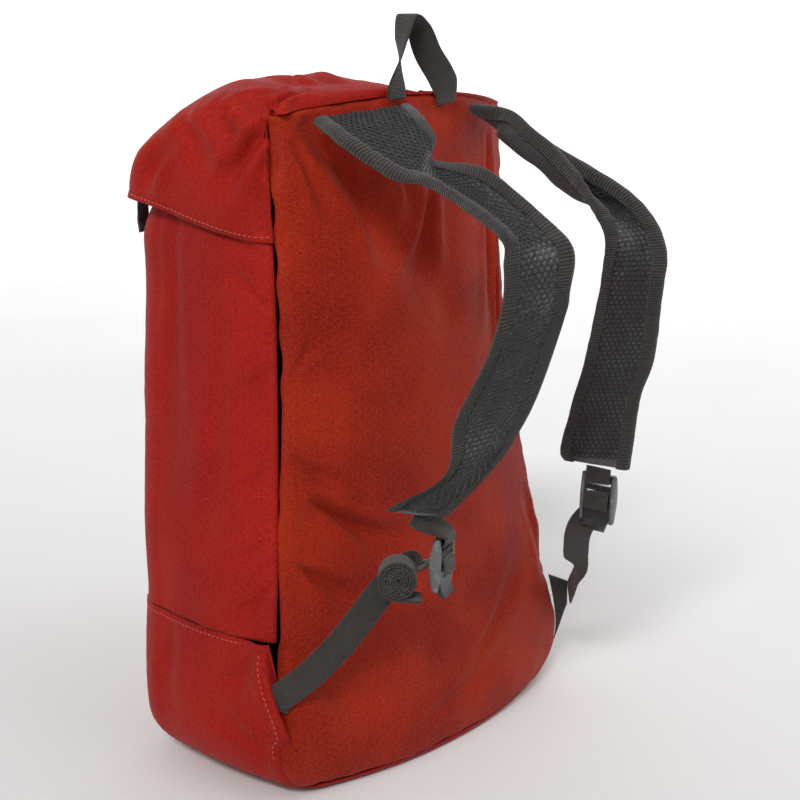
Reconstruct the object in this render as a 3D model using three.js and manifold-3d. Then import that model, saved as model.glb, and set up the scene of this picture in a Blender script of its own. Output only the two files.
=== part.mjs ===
// Packable backpack, standing on its base: back panel with the shoulder straps at -Y, front at +Y, up is +Z.
// Left and right are those of someone who looks at the back panel. Millimetres.
import * as THREE from "three";
import { mergeVertices } from "three/addons/utils/BufferGeometryUtils.js";
import Module from "manifold-3d";

const wasm = await Module();
wasm.setup();

// Driving sizes of the bag
const BAG_HEIGHT = 471; // floor to the ends of the back panel's top seam
const TOP_WIDTH = 262; // between the back corner seams, at the top
const BASE_FLARE = 36; // what each side gains in half width at the base
const BAG_DEPTH = 158; // from back corner to front corner
const BACK_LEAN = 38; // how far the base reaches back past the top
const BACK_BULGE = 30;
const FRONT_BULGE = 26;
const SIDE_BULGE = 7;
const BACK_CORNER_RADIUS = 13;
const FRONT_CORNER_RADIUS = 40;
const BASE_RADIUS = 30; // rounding from the walls into the floor
const BACK_ROUNDING = 0.3; // how much of that rounding the back panel has
const CLOTH = 1.6; // wall of every cloth panel
const SEAM_GAP = 0.4;
const TOP_SEAM_CROWN = 12; // rise of the top seam at mid width
const BOOT_HEIGHT = 115;
const BACK_HEM_HEIGHT = 5; // where the back panel is sewn to the base
const MOUTH_DROP = 34; // the open mouth lies this far under the top seam
const MOUTH_DRAW = 24; // how far the mouth is drawn in at the front

// Driving sizes of the lid flap
const FLAP_RISE = 26; // crown of the lid over the top seam
const FLAP_HEM_BACK = 84; // drop of the side hem under the top seam, at the back corner
const FLAP_HEM_FRONT = 62; // drop of the hem, at the front corner
const FLAP_OVERHANG = 4; // how far the front hem stands off the bag
const FLAP_LAP = 1.4; // air between the lid and the wall under it

// Driving sizes of the webbing and straps
const WEB_WIDTH = 20;
const WEB_THICK = 1.6;
const STRAP_WIDTH = 52;
const STRAP_THICK = 5.4;
const BINDING_WIDTH = 4;
const BINDING_THICK = 6.6;
const PAD_GAP = 2.3; // between a pad and its bindings
const STRAP_REACH = 180; // how far the straps bow out from the back panel
const GRAB_HEIGHT = 56;
const GRAB_SPAN = 52; // between the feet of the grab loop
const ROLL_DIAMETER = 27;
const LOCK_WIDTH = 27;
const LOCK_HEIGHT = 38;
const LOCK_THICK = 4;
const LOCK_BAR = 4;

const COLOURS = {
  red: { color: 0x9c2414, roughness: 0.8, metalness: 0 },
  black: { color: 0x2c2a29, roughness: 0.85, metalness: 0 },
  grosgrain: { color: 0x484441, roughness: 0.85, metalness: 0 },
  plastic: { color: 0x18191a, roughness: 0.4, metalness: 0 },
};

const bag = new THREE.Group();

function addPiece(name, geometry, colour) {
  const mesh = new THREE.Mesh(geometry, new THREE.MeshStandardMaterial(COLOURS[colour]));
  mesh.name = name;
  bag.add(mesh);
  return mesh;
}

const V = (x, y, z) => new THREE.Vector3(x, y, z);
const mix = THREE.MathUtils.lerp;
const smooth = THREE.MathUtils.smoothstep;

// Reads a table of rows [at, value, value, ...] at a place between its rows, with smooth joins.
function readTable(rows, at) {
  if (at <= rows[0][0]) return rows[0].slice(1);
  const last = rows[rows.length - 1];
  if (at >= last[0]) return last.slice(1);
  const k = rows.findIndex((row) => row[0] > at) - 1;
  const before = rows[Math.max(k - 1, 0)];
  const a = rows[k];
  const b = rows[k + 1];
  const after = rows[Math.min(k + 2, rows.length - 1)];
  const t = (at - a[0]) / (b[0] - a[0]);
  return a.slice(1).map((value, i) => {
    const slopeA = (b[i + 1] - before[i + 1]) / (b[0] - before[0] || 1);
    const slopeB = (after[i + 1] - a[i + 1]) / (after[0] - a[0] || 1);
    const step = b[0] - a[0];
    const t2 = t * t;
    const t3 = t2 * t;
    return (
      (2 * t3 - 3 * t2 + 1) * value +
      (t3 - 2 * t2 + t) * slopeA * step +
      (3 * t2 - 2 * t3) * b[i + 1] +
      (t3 - t2) * slopeB * step
    );
  });
}

// A closed body between two grids of points that face each other: grid[i][j], i along, j across.
function slab(front, back, closed = false) {
  const points = [];
  const ids = new Map();
  const idOf = (p) => {
    const key = [p.x, p.y, p.z].map((c) => Math.round(c * 2000)).join(" ");
    if (!ids.has(key)) {
      ids.set(key, points.length);
      points.push(p);
    }
    return ids.get(key);
  };
  const faces = [];
  const quad = (a, b, c, d) => {
    for (const corners of [[a, b, c], [a, c, d]]) {
      const [p, q, r] = corners.map(idOf);
      if (p !== q && q !== r && r !== p) faces.push(p, q, r);
    }
  };
  const rows = front.length;
  const columns = front[0].length;
  for (let i = 0; i < (closed ? rows : rows - 1); i++) {
    const n = (i + 1) % rows;
    for (let j = 0; j < columns - 1; j++) {
      quad(front[i][j], front[n][j], front[n][j + 1], front[i][j + 1]);
      quad(back[i][j], back[i][j + 1], back[n][j + 1], back[n][j]);
    }
    quad(front[n][0], front[i][0], back[i][0], back[n][0]);
    const e = columns - 1;
    quad(front[i][e], front[n][e], back[n][e], back[i][e]);
  }
  if (!closed) {
    for (let j = 0; j < columns - 1; j++) {
      const e = rows - 1;
      quad(front[0][j], front[0][j + 1], back[0][j + 1], back[0][j]);
      quad(front[e][j + 1], front[e][j], back[e][j], back[e][j + 1]);
    }
  }
  let volume = 0;
  for (let k = 0; k < faces.length; k += 3) {
    const [p, q, r] = [points[faces[k]], points[faces[k + 1]], points[faces[k + 2]]];
    volume += p.dot(q.clone().cross(r));
  }
  if (volume < 0) faces.reverse();
  const geometry = new THREE.BufferGeometry().setFromPoints(points);
  geometry.setIndex(faces);
  geometry.computeVertexNormals();
  return geometry;
}

// The same grid moved out along the points' own outward directions or, where they have none, along the grid's normals.
function offsetGrid(grid, distance, closed = false) {
  const rows = grid.length;
  const columns = grid[0].length;
  return grid.map((row, i) =>
    row.map((p, j) => {
      if (p.outward) return p.clone().addScaledVector(p.outward, distance);
      const i0 = closed ? (i + rows - 1) % rows : Math.max(i - 1, 0);
      const i1 = closed ? (i + 1) % rows : Math.min(i + 1, rows - 1);
      const j1 = Math.min(j + 1, columns - 1);
      const j0 = Math.max(j - 1, 0);
      const along = grid[i1][j].clone().sub(grid[i0][j]);
      const across = grid[i][j1].clone().sub(grid[i][j0]);
      return p.clone().addScaledVector(along.cross(across).normalize(), distance);
    }),
  );
}

function sheet(grid, thickness, closed = false) {
  return slab(grid, offsetGrid(grid, thickness, closed), closed);
}

function solidOf(geometry) {
  const plain = geometry.clone();
  plain.deleteAttribute("normal");
  plain.deleteAttribute("uv");
  const merged = mergeVertices(plain, 1e-4);
  return new wasm.Manifold(
    new wasm.Mesh({
      numProp: 3,
      vertProperties: merged.attributes.position.array,
      triVerts: new Uint32Array(merged.index.array),
    }),
  );
}

function geometryOf(solid) {
  const mesh = solid.getMesh();
  const geometry = new THREE.BufferGeometry();
  geometry.setAttribute("position", new THREE.BufferAttribute(mesh.vertProperties, 3));
  geometry.setIndex(new THREE.BufferAttribute(mesh.triVerts, 1));
  geometry.computeVertexNormals();
  return geometry;
}

// Sections of the bag, a row for each height.
// height: share of BAG_HEIGHT; flare: share of BASE_FLARE; lean: share of BACK_LEAN;
// depth: share of BAG_DEPTH; bulges: shares of BACK_BULGE, FRONT_BULGE and SIDE_BULGE.
const SECTIONS = [
  // height, flare, lean, depth, back bulge, front bulge, side bulge
  [0.0, 0.74, 1.05, 1.02, 0.88, 0.4, 0.4],
  [0.09, 1.02, 1.02, 1.03, 0.8, 0.6, 0.8],
  [0.22, 0.84, 0.79, 1.0, 0.78, 0.85, 1.0],
  [0.34, 0.58, 0.62, 1.02, 0.8, 1.0, 1.0],
  [0.55, 0.16, 0.3, 1.03, 1.0, 1.0, 0.9],
  [0.75, -0.02, 0.12, 1.0, 1.0, 0.9, 0.8],
  [0.9, 0.0, 0.04, 1.0, 0.95, 0.7, 0.5],
  [1.0, 0.0, 0.0, 0.96, 0.85, 0.6, 0.3],
];

// Creases and dents of the panels, a row for each.
// panel; start and end as shares across the panel (0 left, 1 right) and of BAG_HEIGHT; depth and half width as
// shares of BACK_BULGE. A negative depth stands proud.
const CREASES = [
  // panel, across0, height0, across1, height1, depth, width
  ["back", 0.1, 0.97, 0.42, 0.78, 0.16, 0.6],
  ["back", 0.6, 0.9, 0.56, 0.7, 0.13, 0.5],
  ["back", 0.93, 0.82, 0.93, 0.62, 0.22, 0.28],
  ["back", 0.1, 0.42, 0.3, 0.35, 0.1, 0.4],
  ["back", 0.06, 0.33, 0.22, 0.28, 0.1, 0.4],
  ["left", 0.96, 1.0, 0.97, 0.84, 0.25, 0.3],
  ["left", 0.98, 0.18, 0.9, 0.06, 0.12, 0.3],
  ["right", 0.03, 1.0, 0.04, 0.84, 0.2, 0.3],
  ["right", 0.05, 0.2, 0.12, 0.08, 0.12, 0.3],
];

function creaseDepth(panel, across, height) {
  let depth = 0;
  for (const [on, a0, h0, a1, h1, deep, wide] of CREASES) {
    if (on !== panel) continue;
    const scaleA = TOP_WIDTH;
    const scaleH = BAG_HEIGHT;
    const px = (across - a0) * scaleA;
    const py = (height - h0) * scaleH;
    const dx = (a1 - a0) * scaleA;
    const dy = (h1 - h0) * scaleH;
    const t = THREE.MathUtils.clamp((px * dx + py * dy) / (dx * dx + dy * dy), 0, 1);
    const away = Math.hypot(px - dx * t, py - dy * t) / (wide * BACK_BULGE);
    depth += deep * BACK_BULGE * Math.exp(-away * away);
  }
  return depth;
}

// How far the walls draw in where they round into the floor.
function baseInset(z) {
  if (z >= BASE_RADIUS) return 0;
  const up = BASE_RADIUS - z;
  return BASE_RADIUS - Math.sqrt(Math.max(BASE_RADIUS * BASE_RADIUS - up * up, 0));
}

// One column of the bag's outline: which stretch of the outline it is on, and where along it, from 0 to 1.
// The stretches run round the bag from the left back seam: back, right, front, left.
const QUARTER = Math.PI / 4;

function outlinePoint(column, height, proud = 0) {
  const inset = baseInset(height * BAG_HEIGHT);
  const [flare, lean, depthShare, backShare, frontShare, sideShare] = readTable(SECTIONS, height);
  const half = TOP_WIDTH / 2 + BASE_FLARE * flare - inset;
  const depth = BAG_DEPTH * depthShare;
  const yWall = -BAG_DEPTH / 2 + BACK_LEAN * (1 - lean);
  const yBack = yWall + inset * BACK_ROUNDING;
  const yFront = yWall + depth - inset;
  const rb = BACK_CORNER_RADIUS;
  const rf = FRONT_CORNER_RADIUS;
  const backFlat = half - rb;
  const frontFlat = half - rf;
  const sideFlat = yFront - rf - (yBack + rb);
  const arcB = rb * QUARTER;
  const arcF = rf * QUARTER * 2;
  let x, y, nx, ny;
  const k = column.at;
  if (column.on === "back") {
    const length = 2 * backFlat + 2 * arcB;
    let s = k * length;
    if (s < arcB) {
      const turn = QUARTER * (1 - s / arcB);
      [nx, ny] = [-Math.sin(turn), -Math.cos(turn)];
      [x, y] = [-backFlat + rb * nx, yBack + rb + rb * ny];
    } else if (s > length - arcB) {
      const turn = QUARTER * (1 - (length - s) / arcB);
      [nx, ny] = [Math.sin(turn), -Math.cos(turn)];
      [x, y] = [backFlat + rb * nx, yBack + rb + rb * ny];
    } else {
      x = s - arcB - backFlat;
      y = yBack;
      [nx, ny] = [0, -1];
    }
    y -= BACK_BULGE * backShare * (1 - Math.pow(Math.abs(2 * k - 1), 2.2));
  } else if (column.on === "front") {
    x = mix(frontFlat, -frontFlat, k);
    y = yFront;
    [nx, ny] = [0, 1];
    y += FRONT_BULGE * frontShare * (1 - Math.pow(2 * k - 1, 2));
  } else {
    // A side runs from its back seam (0) to its front end (1), over the front corner.
    const length = arcB + sideFlat + arcF;
    const s = k * length;
    if (s < arcB) {
      const turn = QUARTER * (1 + s / arcB);
      [nx, ny] = [Math.sin(turn), -Math.cos(turn)];
      [x, y] = [backFlat + rb * nx, yBack + rb + rb * ny];
    } else if (s > length - arcF) {
      const turn = (Math.PI / 2) * (1 - (length - s) / arcF);
      [nx, ny] = [Math.cos(turn), Math.sin(turn)];
      [x, y] = [frontFlat + rf * nx, yFront - rf + rf * ny];
    } else {
      x = half;
      y = yBack + rb + s - arcB;
      [nx, ny] = [1, 0];
    }
    const swell = SIDE_BULGE * sideShare * Math.sin(Math.PI * Math.min(s / (arcB + sideFlat), 1));
    x += swell;
    if (column.on === "left") [x, nx] = [-x, -nx];
  }
  const across = column.on === "left" ? 1 - k : k;
  const push = proud - creaseDepth(column.on, across, height);
  const point = V(x + nx * push, y + ny * push, height * BAG_HEIGHT);
  const dip = Math.max(BASE_RADIUS - point.z, 0) / BASE_RADIUS;
  const level = Math.sqrt(1 - dip * dip);
  point.outward = V(nx * level, ny * level, -dip);
  return point;
}

// Columns of one stretch, closer together near its ends. The ends stop short of the seams.
function columnsOf(on, count, endShort, startShort = endShort) {
  const list = [];
  for (let i = 0; i < count; i++) {
    const t = i / (count - 1);
    const eased = 0.45 * t + 0.55 * (0.5 - 0.5 * Math.cos(Math.PI * t));
    list.push({ on, at: mix(startShort, 1 - endShort, eased) });
  }
  return list;
}

// Panels stop short of their corner seam by these shares of a stretch.
const BACK_SHORT = SEAM_GAP / TOP_WIDTH;
const SIDE_SHORT = SEAM_GAP / BAG_DEPTH;
const BACK_COLUMNS = 17;
const SIDE_COLUMNS = 12;
const FRONT_COLUMNS = 10;

function wrapColumns() {
  const right = columnsOf("right", SIDE_COLUMNS, 0, SIDE_SHORT);
  const front = columnsOf("front", FRONT_COLUMNS, 0);
  const left = columnsOf("left", SIDE_COLUMNS, 0, SIDE_SHORT).reverse();
  return [...right, ...front.slice(1, -1), ...left];
}

function ringColumns(backInset) {
  return [...columnsOf("back", BACK_COLUMNS, backInset), ...wrapColumns()];
}

const topSeamHeight = (across) => 1 + (TOP_SEAM_CROWN / BAG_HEIGHT) * (1 - Math.pow(2 * across - 1, 2));

// Back panel, from the base seam to the top seam
const backGrid = columnsOf("back", BACK_COLUMNS, BACK_SHORT).map((column) => {
  const top = topSeamHeight(column.at) - SEAM_GAP / BAG_HEIGHT;
  const rows = 18;
  return Array.from({ length: rows }, (_, j) =>
    outlinePoint(column, mix(BACK_HEM_HEIGHT / BAG_HEIGHT, top, j / (rows - 1))),
  );
});
addPiece("back_panel", sheet(backGrid, -CLOTH), "red");

// Side and front wrap, from the boot seam to the open mouth
const wrapGrid = wrapColumns().map((column) => {
  const rows = 14;
  const low = (BOOT_HEIGHT + SEAM_GAP) / BAG_HEIGHT;
  const high = 1 - MOUTH_DROP / BAG_HEIGHT;
  const frontness = column.on === "front" ? 1 : smooth(column.at, 0.1, 0.7);
  return Array.from({ length: rows }, (_, j) => {
    const height = mix(low, high, j / (rows - 1));
    return outlinePoint(column, height, -MOUTH_DRAW * frontness * smooth(height, 0.8, 0.94));
  });
});
addPiece("side_and_front_wrap", sheet(wrapGrid, -CLOTH), "red");

// Boot: the band that rises over the sides and front and turns in under the bag
const bootGrid = ringColumns(BACK_SHORT / 2).map((column) => {
  const onBack = column.on === "back";
  const rim = onBack ? BACK_HEM_HEIGHT - SEAM_GAP : BOOT_HEIGHT;
  const wallRows = 3;
  const roundRows = 4;
  const roundStart = onBack ? Math.asin(1 - rim / BASE_RADIUS) : 0;
  const heights = [];
  if (!onBack) {
    for (let j = 0; j < wallRows; j++) heights.push(mix(rim, BASE_RADIUS, j / wallRows));
  }
  const turns = onBack ? wallRows + roundRows : roundRows;
  for (let j = 0; j <= turns; j++) {
    heights.push(BASE_RADIUS * (1 - Math.sin(mix(roundStart, Math.PI / 2, j / turns))));
  }
  return heights.map((z) => outlinePoint(column, z / BAG_HEIGHT));
});
addPiece("boot", sheet(bootGrid, -CLOTH, true), "red");

// Base panel: the flat floor inside the turned-in boot
const baseGrid = bootGrid.map((column) => {
  const rows = 3;
  const edge = column[column.length - 1].clone();
  edge.setLength(edge.length() - SEAM_GAP);
  return Array.from({ length: rows }, (_, j) => {
    const point = edge.clone().multiplyScalar(1 - j / (rows - 1));
    point.outward = V(0, 0, -1);
    return point;
  });
});
addPiece("base_panel", sheet(baseGrid, -CLOTH, true), "red");

// Lid flap: sewn to the top seam and down the back corner seams, open along its front hem
const FLAP_PROUD = CLOTH + FLAP_LAP;

// Heights of the lid over the top seam, a row for each place across the lid, left to right.
const LID_CROWN = [
  // across, crown as a share of FLAP_RISE
  [0, 0.85],
  [0.2, 1.02],
  [0.4, 0.92],
  [0.5, 0.5],
  [0.62, 0.15],
  [0.8, -0.15],
  [1, -0.5],
];

// Lobes and folds of the lid: centre and size across the lid and along its depth as shares of TOP_WIDTH and
// BAG_DEPTH (from the middle of the bag's top), height as a share of FLAP_RISE.
const LID_LOBES = [
  // x, y, size x, size y, height
  [-0.36, -0.16, 0.1, 0.2, 0.2],
  [-0.27, -0.3, 0.05, 0.16, -0.3],
  [-0.12, -0.22, 0.1, 0.18, 0.16],
  [-0.34, 0.22, 0.18, 0.26, 0.34],
  [0.08, 0.1, 0.07, 0.4, -0.12],
  [0.3, 0.0, 0.12, 0.25, 0.12],
];

function lidHeight(x, y) {
  const across = THREE.MathUtils.clamp(x / TOP_WIDTH + 0.5, 0, 1);
  const [crown] = readTable(LID_CROWN, across);
  let z = BAG_HEIGHT + FLAP_RISE * crown;
  for (const [lx, ly, sx, sy, high] of LID_LOBES) {
    const u = (x / TOP_WIDTH - lx) / sx;
    const v = ((y - BACK_LEAN) / BAG_DEPTH - ly) / sy;
    z += FLAP_RISE * high * Math.exp(-u * u - v * v);
  }
  return z;
}

// Drop of the lid's hem under the top seam, from the back corner (0) to the front corner (1) of a side.
const hemDrop = (side) => mix(FLAP_HEM_BACK, FLAP_HEM_FRONT, smooth(side, 0, 0.85));

const LID_SKIRT_ROWS = 5;
const LID_DOME_ROWS = 8;
const lidShoulder = 0.865; // height of the turn into the skirt at the front, as a share of BAG_HEIGHT
const lidMiddleY = BACK_LEAN;

function lidColumn(column) {
  const onBack = column.on === "back";
  const side = column.on === "front" ? 1 : column.at;
  const seam = topSeamHeight(onBack ? column.at : 0) + SEAM_GAP / BAG_HEIGHT;
  const low = onBack ? seam : 1 - hemDrop(side) / BAG_HEIGHT;
  const frontness = onBack ? 0 : smooth(side, 0.3, 0.95);
  const shoulder = onBack ? seam + 1.5 / BAG_HEIGHT : mix(0.985, lidShoulder, frontness);
  const points = [];
  for (let j = 0; j < LID_SKIRT_ROWS; j++) {
    const t = j / (LID_SKIRT_ROWS - 1);
    const height = mix(low, shoulder, t);
    const overhang = FLAP_OVERHANG * frontness * (1 - 0.5 * t);
    const point = outlinePoint(column, Math.min(height, 1), onBack ? 0 : FLAP_PROUD + overhang);
    point.z = height * BAG_HEIGHT;
    points.push(point);
  }
  const start = points[points.length - 1];
  const middle = V(0, lidMiddleY, 0);
  for (let j = 1; j <= LID_DOME_ROWS; j++) {
    const inward = Math.pow(j / LID_DOME_ROWS, 1.6);
    const point = start.clone().lerp(middle, inward);
    const rise = Math.pow(inward, mix(0.3, 0.46, frontness));
    point.z = mix(start.z, lidHeight(point.x, point.y), rise);
    point.outward = start.outward.clone().multiplyScalar(1 - rise).add(V(0, 0, rise)).normalize();
    points.push(point);
  }
  return points;
}

const lidGrid = ringColumns(0).map(lidColumn);
addPiece("lid_flap", sheet(lidGrid, -CLOTH, true), "red");

// Shoulder straps. A strap runs down between its two edges; where they lie closer than the strap is wide, it is
// folded lengthwise, and its middle stands off by what the width leaves over.
// Columns: side of the left edge as a share of half TOP_WIDTH, its reach out from the top seam as a share of
// STRAP_REACH, its height as a share of BAG_HEIGHT; the same for the right edge; fold: which way the middle goes.
const LEFT_STRAP = [
  // side, reach, height, side, reach, height, fold
  [-0.79, 0.09, 0.993, -0.145, 0.165, 1.008, 0],
  [-0.8, 0.23, 0.964, -0.3, 0.32, 0.994, 0],
  [-0.74, 0.44, 0.921, -0.33, 0.4, 0.968, 0],
  [-0.725, 0.59, 0.917, -0.41, 0.44, 0.934, -0.6],
  [-0.725, 0.78, 0.885, -0.46, 0.7, 0.933, -0.8],
  [-0.725, 0.935, 0.851, -0.42, 0.93, 0.875, -0.5],
  [-0.7, 0.925, 0.815, -0.48, 1.1, 0.836, -0.3],
  [-0.69, 0.92, 0.766, -0.48, 1.09, 0.777, -0.2],
  [-0.69, 0.856, 0.688, -0.5, 1.08, 0.741, 0],
  [-0.725, 0.728, 0.588, -0.535, 0.98, 0.624, 0],
  [-0.74, 0.69, 0.51, -0.58, 0.88, 0.552, 0.4],
  [-0.81, 0.45, 0.446, -0.7, 0.69, 0.452, 0.5],
];
const RIGHT_STRAP = [
  [0.4, 0.156, 1.006, 0.72, 0.115, 0.997, -0.55],
  [0.5, 0.3, 1.0, 0.58, 0.256, 0.998, -1],
  [0.52, 0.41, 0.972, 0.595, 0.36, 0.968, -1],
  [0.535, 0.53, 0.94, 0.626, 0.48, 0.943, -1],
  [0.51, 0.65, 0.895, 0.64, 0.62, 0.918, -1.25],
  [0.505, 0.72, 0.854, 0.626, 0.84, 0.877, -0.9],
  [0.52, 0.765, 0.817, 0.595, 0.97, 0.834, -0.4],
  [0.535, 0.76, 0.777, 0.557, 1.03, 0.79, 0],
  [0.54, 0.74, 0.73, 0.542, 1.02, 0.741, 0],
  [0.535, 0.68, 0.618, 0.603, 0.97, 0.635, 0],
  [0.557, 0.617, 0.552, 0.603, 0.91, 0.569, 0],
  [0.573, 0.556, 0.473, 0.611, 0.88, 0.49, 0],
  [0.588, 0.565, 0.452, 0.626, 0.86, 0.452, 0],
];
const TOP_SEAM_Y = -BAG_DEPTH / 2 + BACK_LEAN;
const STRAP_STEPS = 29;
const STRAP_ACROSS = 6;

function strapPlace(side, reach, height) {
  return V((side * TOP_WIDTH) / 2, TOP_SEAM_Y - reach * STRAP_REACH, height * BAG_HEIGHT);
}

// Stations down a strap: its two edges, the direction across the strap's face, and the folded middle.
function strapStations(rows) {
  const timed = rows.map((row, i) => [i / (rows.length - 1), ...row]);
  const edges = [];
  for (let i = 0; i < STRAP_STEPS; i++) {
    const v = readTable(timed, i / (STRAP_STEPS - 1));
    edges.push([strapPlace(v[0], v[1], v[2]), strapPlace(v[3], v[4], v[5]), v[6]]);
  }
  return edges.map(([left, right, fold], i) => {
    const before = edges[Math.max(i - 1, 0)];
    const after = edges[Math.min(i + 1, edges.length - 1)];
    const middle = left.clone().add(right).multiplyScalar(0.5);
    const down = after[0].clone().add(after[1]).sub(before[0]).sub(before[1]).normalize();
    const across = right.clone().sub(left);
    const chord = across.length();
    const face = down.clone().cross(across).normalize();
    const spare = Math.sqrt(Math.max((STRAP_WIDTH / 2) ** 2 - (chord / 2) ** 2, 0));
    const crest = middle.clone().addScaledVector(face, spare * fold);
    const span = left.distanceTo(crest) + crest.distanceTo(right);
    return { left, right, crest, face, down, span };
  });
}

// The line across a strap at a station, from left (0) to right (1), with its face direction.
function acrossStrap(station, k) {
  const { left, right, crest, face, down } = station;
  const near = k < 0.5 ? left : right;
  const share = k < 0.5 ? 2 * k : 2 - 2 * k;
  const straight = near.clone().lerp(crest, share);
  const flat = left.clone().lerp(right, k);
  const soft = 0.25 * smooth(share, 0.5, 1);
  const point = straight.lerp(flat, soft);
  const half = k < 0.5 ? crest.clone().sub(left) : right.clone().sub(crest);
  const tilted = down.clone().cross(half).normalize();
  const blend = tilted.lerp(face, smooth(share, 0.6, 1)).normalize();
  return { point, out: blend };
}

function strapPad(stations) {
  const faces = [STRAP_THICK / 2, -STRAP_THICK / 2].map((lift) =>
    stations.map((station) =>
      Array.from({ length: STRAP_ACROSS }, (_, j) => {
        const margin = (BINDING_WIDTH + PAD_GAP) / station.span;
        const { point, out } = acrossStrap(station, mix(margin, 1 - margin, j / (STRAP_ACROSS - 1)));
        return point.addScaledVector(out, lift);
      }),
    ),
  );
  return slab(faces[0], faces[1]);
}

function strapBinding(stations, onLeft) {
  const faces = [BINDING_THICK / 2, -BINDING_THICK / 2].map((lift) =>
    stations.map((station) => {
      const share = BINDING_WIDTH / station.span;
      const ends = onLeft ? [0, share] : [1 - share, 1];
      return ends.map((k) => {
        const { point, out } = acrossStrap(station, k);
        return point.addScaledVector(out, lift);
      });
    }),
  );
  return slab(faces[0], faces[1]);
}

for (const [side, rows] of [["left", LEFT_STRAP], ["right", RIGHT_STRAP]]) {
  const stations = strapStations(rows);
  addPiece(`${side}_strap_pad`, strapPad(stations), "black");
  addPiece(`${side}_strap_outer_binding`, strapBinding(stations, true), "grosgrain");
  addPiece(`${side}_strap_inner_binding`, strapBinding(stations, false), "grosgrain");
}

// Flat webbing along points; at each, its width direction. Rows: [point, across].
function webbing(rows, width = WEB_WIDTH, steps = 4) {
  const path = new THREE.CatmullRomCurve3(rows.map(([point]) => point), false, "centripetal");
  const turns = new THREE.CatmullRomCurve3(rows.map(([, across]) => across), false, "catmullrom");
  const count = (rows.length - 1) * steps + 1;
  const faces = [[], []];
  for (let i = 0; i < count; i++) {
    const t = i / (count - 1);
    const point = path.getPoint(t);
    const along = path.getTangent(t);
    const across = turns.getPoint(t);
    across.addScaledVector(along, -across.dot(along)).normalize();
    const out = along.clone().cross(across).normalize();
    faces.forEach((face, side) => {
      const lift = (side ? -1 : 1) * (WEB_THICK / 2);
      face.push(
        [-0.5, 0.5].map((k) => point.clone().addScaledVector(across, k * width).addScaledVector(out, lift)),
      );
    });
  }
  return slab(faces[0], faces[1]);
}

// Grab loop: one length of webbing, both ends sewn into the top seam
const seamAt = (x) => {
  const k = x / (TOP_WIDTH - 2 * BACK_CORNER_RADIUS + 2 * BACK_CORNER_RADIUS * QUARTER) + 0.5;
  return outlinePoint({ on: "back", at: k }, topSeamHeight(k));
};
const grabFoot = seamAt((GRAB_SPAN - WEB_WIDTH) / 2);
const GRAB_LOOP = [
  // x as a share of half GRAB_SPAN, reach toward the back in WEB_WIDTH, height as a share of GRAB_HEIGHT, twist
  [-1.24, 0.04, -0.04, 0],
  [-1.26, 0.08, 0.12, -0.1],
  [-1.2, 0.15, 0.4, -0.65],
  [-1.15, 0.2, 0.72, -1.2],
  [-0.92, 0.2, 0.98, -1.5],
  [-0.52, 0.2, 0.86, -1.75],
  [-0.12, 0.25, 0.52, -2.2],
  [0.36, 0.32, 0.25, -2.6],
  [0.82, 0.14, 0.04, -3.0],
  [0.9, 0.04, -0.12, -3.14],
];
const grabStandOff = WEB_THICK / 2 + SEAM_GAP + 1;
const grabRows = GRAB_LOOP.map(([x, reach, z, twist]) => [
  V((x * GRAB_SPAN) / 2, grabFoot.y - grabStandOff - reach * WEB_WIDTH, grabFoot.z + z * GRAB_HEIGHT),
  V(Math.cos(twist), -Math.sin(twist), 0),
]);
addPiece("grab_loop", webbing(grabRows), "grosgrain");

// Ladder-lock buckles. Each hangs at the end of its strap; its own frame has +X across the webbing, +Y down the
// strap and +Z out of its face.
const LOCK_SLOT = 5;
const LOCK_RAIL = (LOCK_WIDTH - WEB_WIDTH - 1) / 2;
const LOCKS = {
  // middle of the buckle, and the direction across its webbing
  left: { middle: strapPlace(-0.645, 0.63, 0.374), across: V(-0.95, -0.3, 0) },
  right: { middle: strapPlace(0.615, 0.722, 0.397), across: V(-0.12, 0.99, -0.02) },
};
const LOCK_DOWN = V(0, 0.06, -1);

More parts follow.
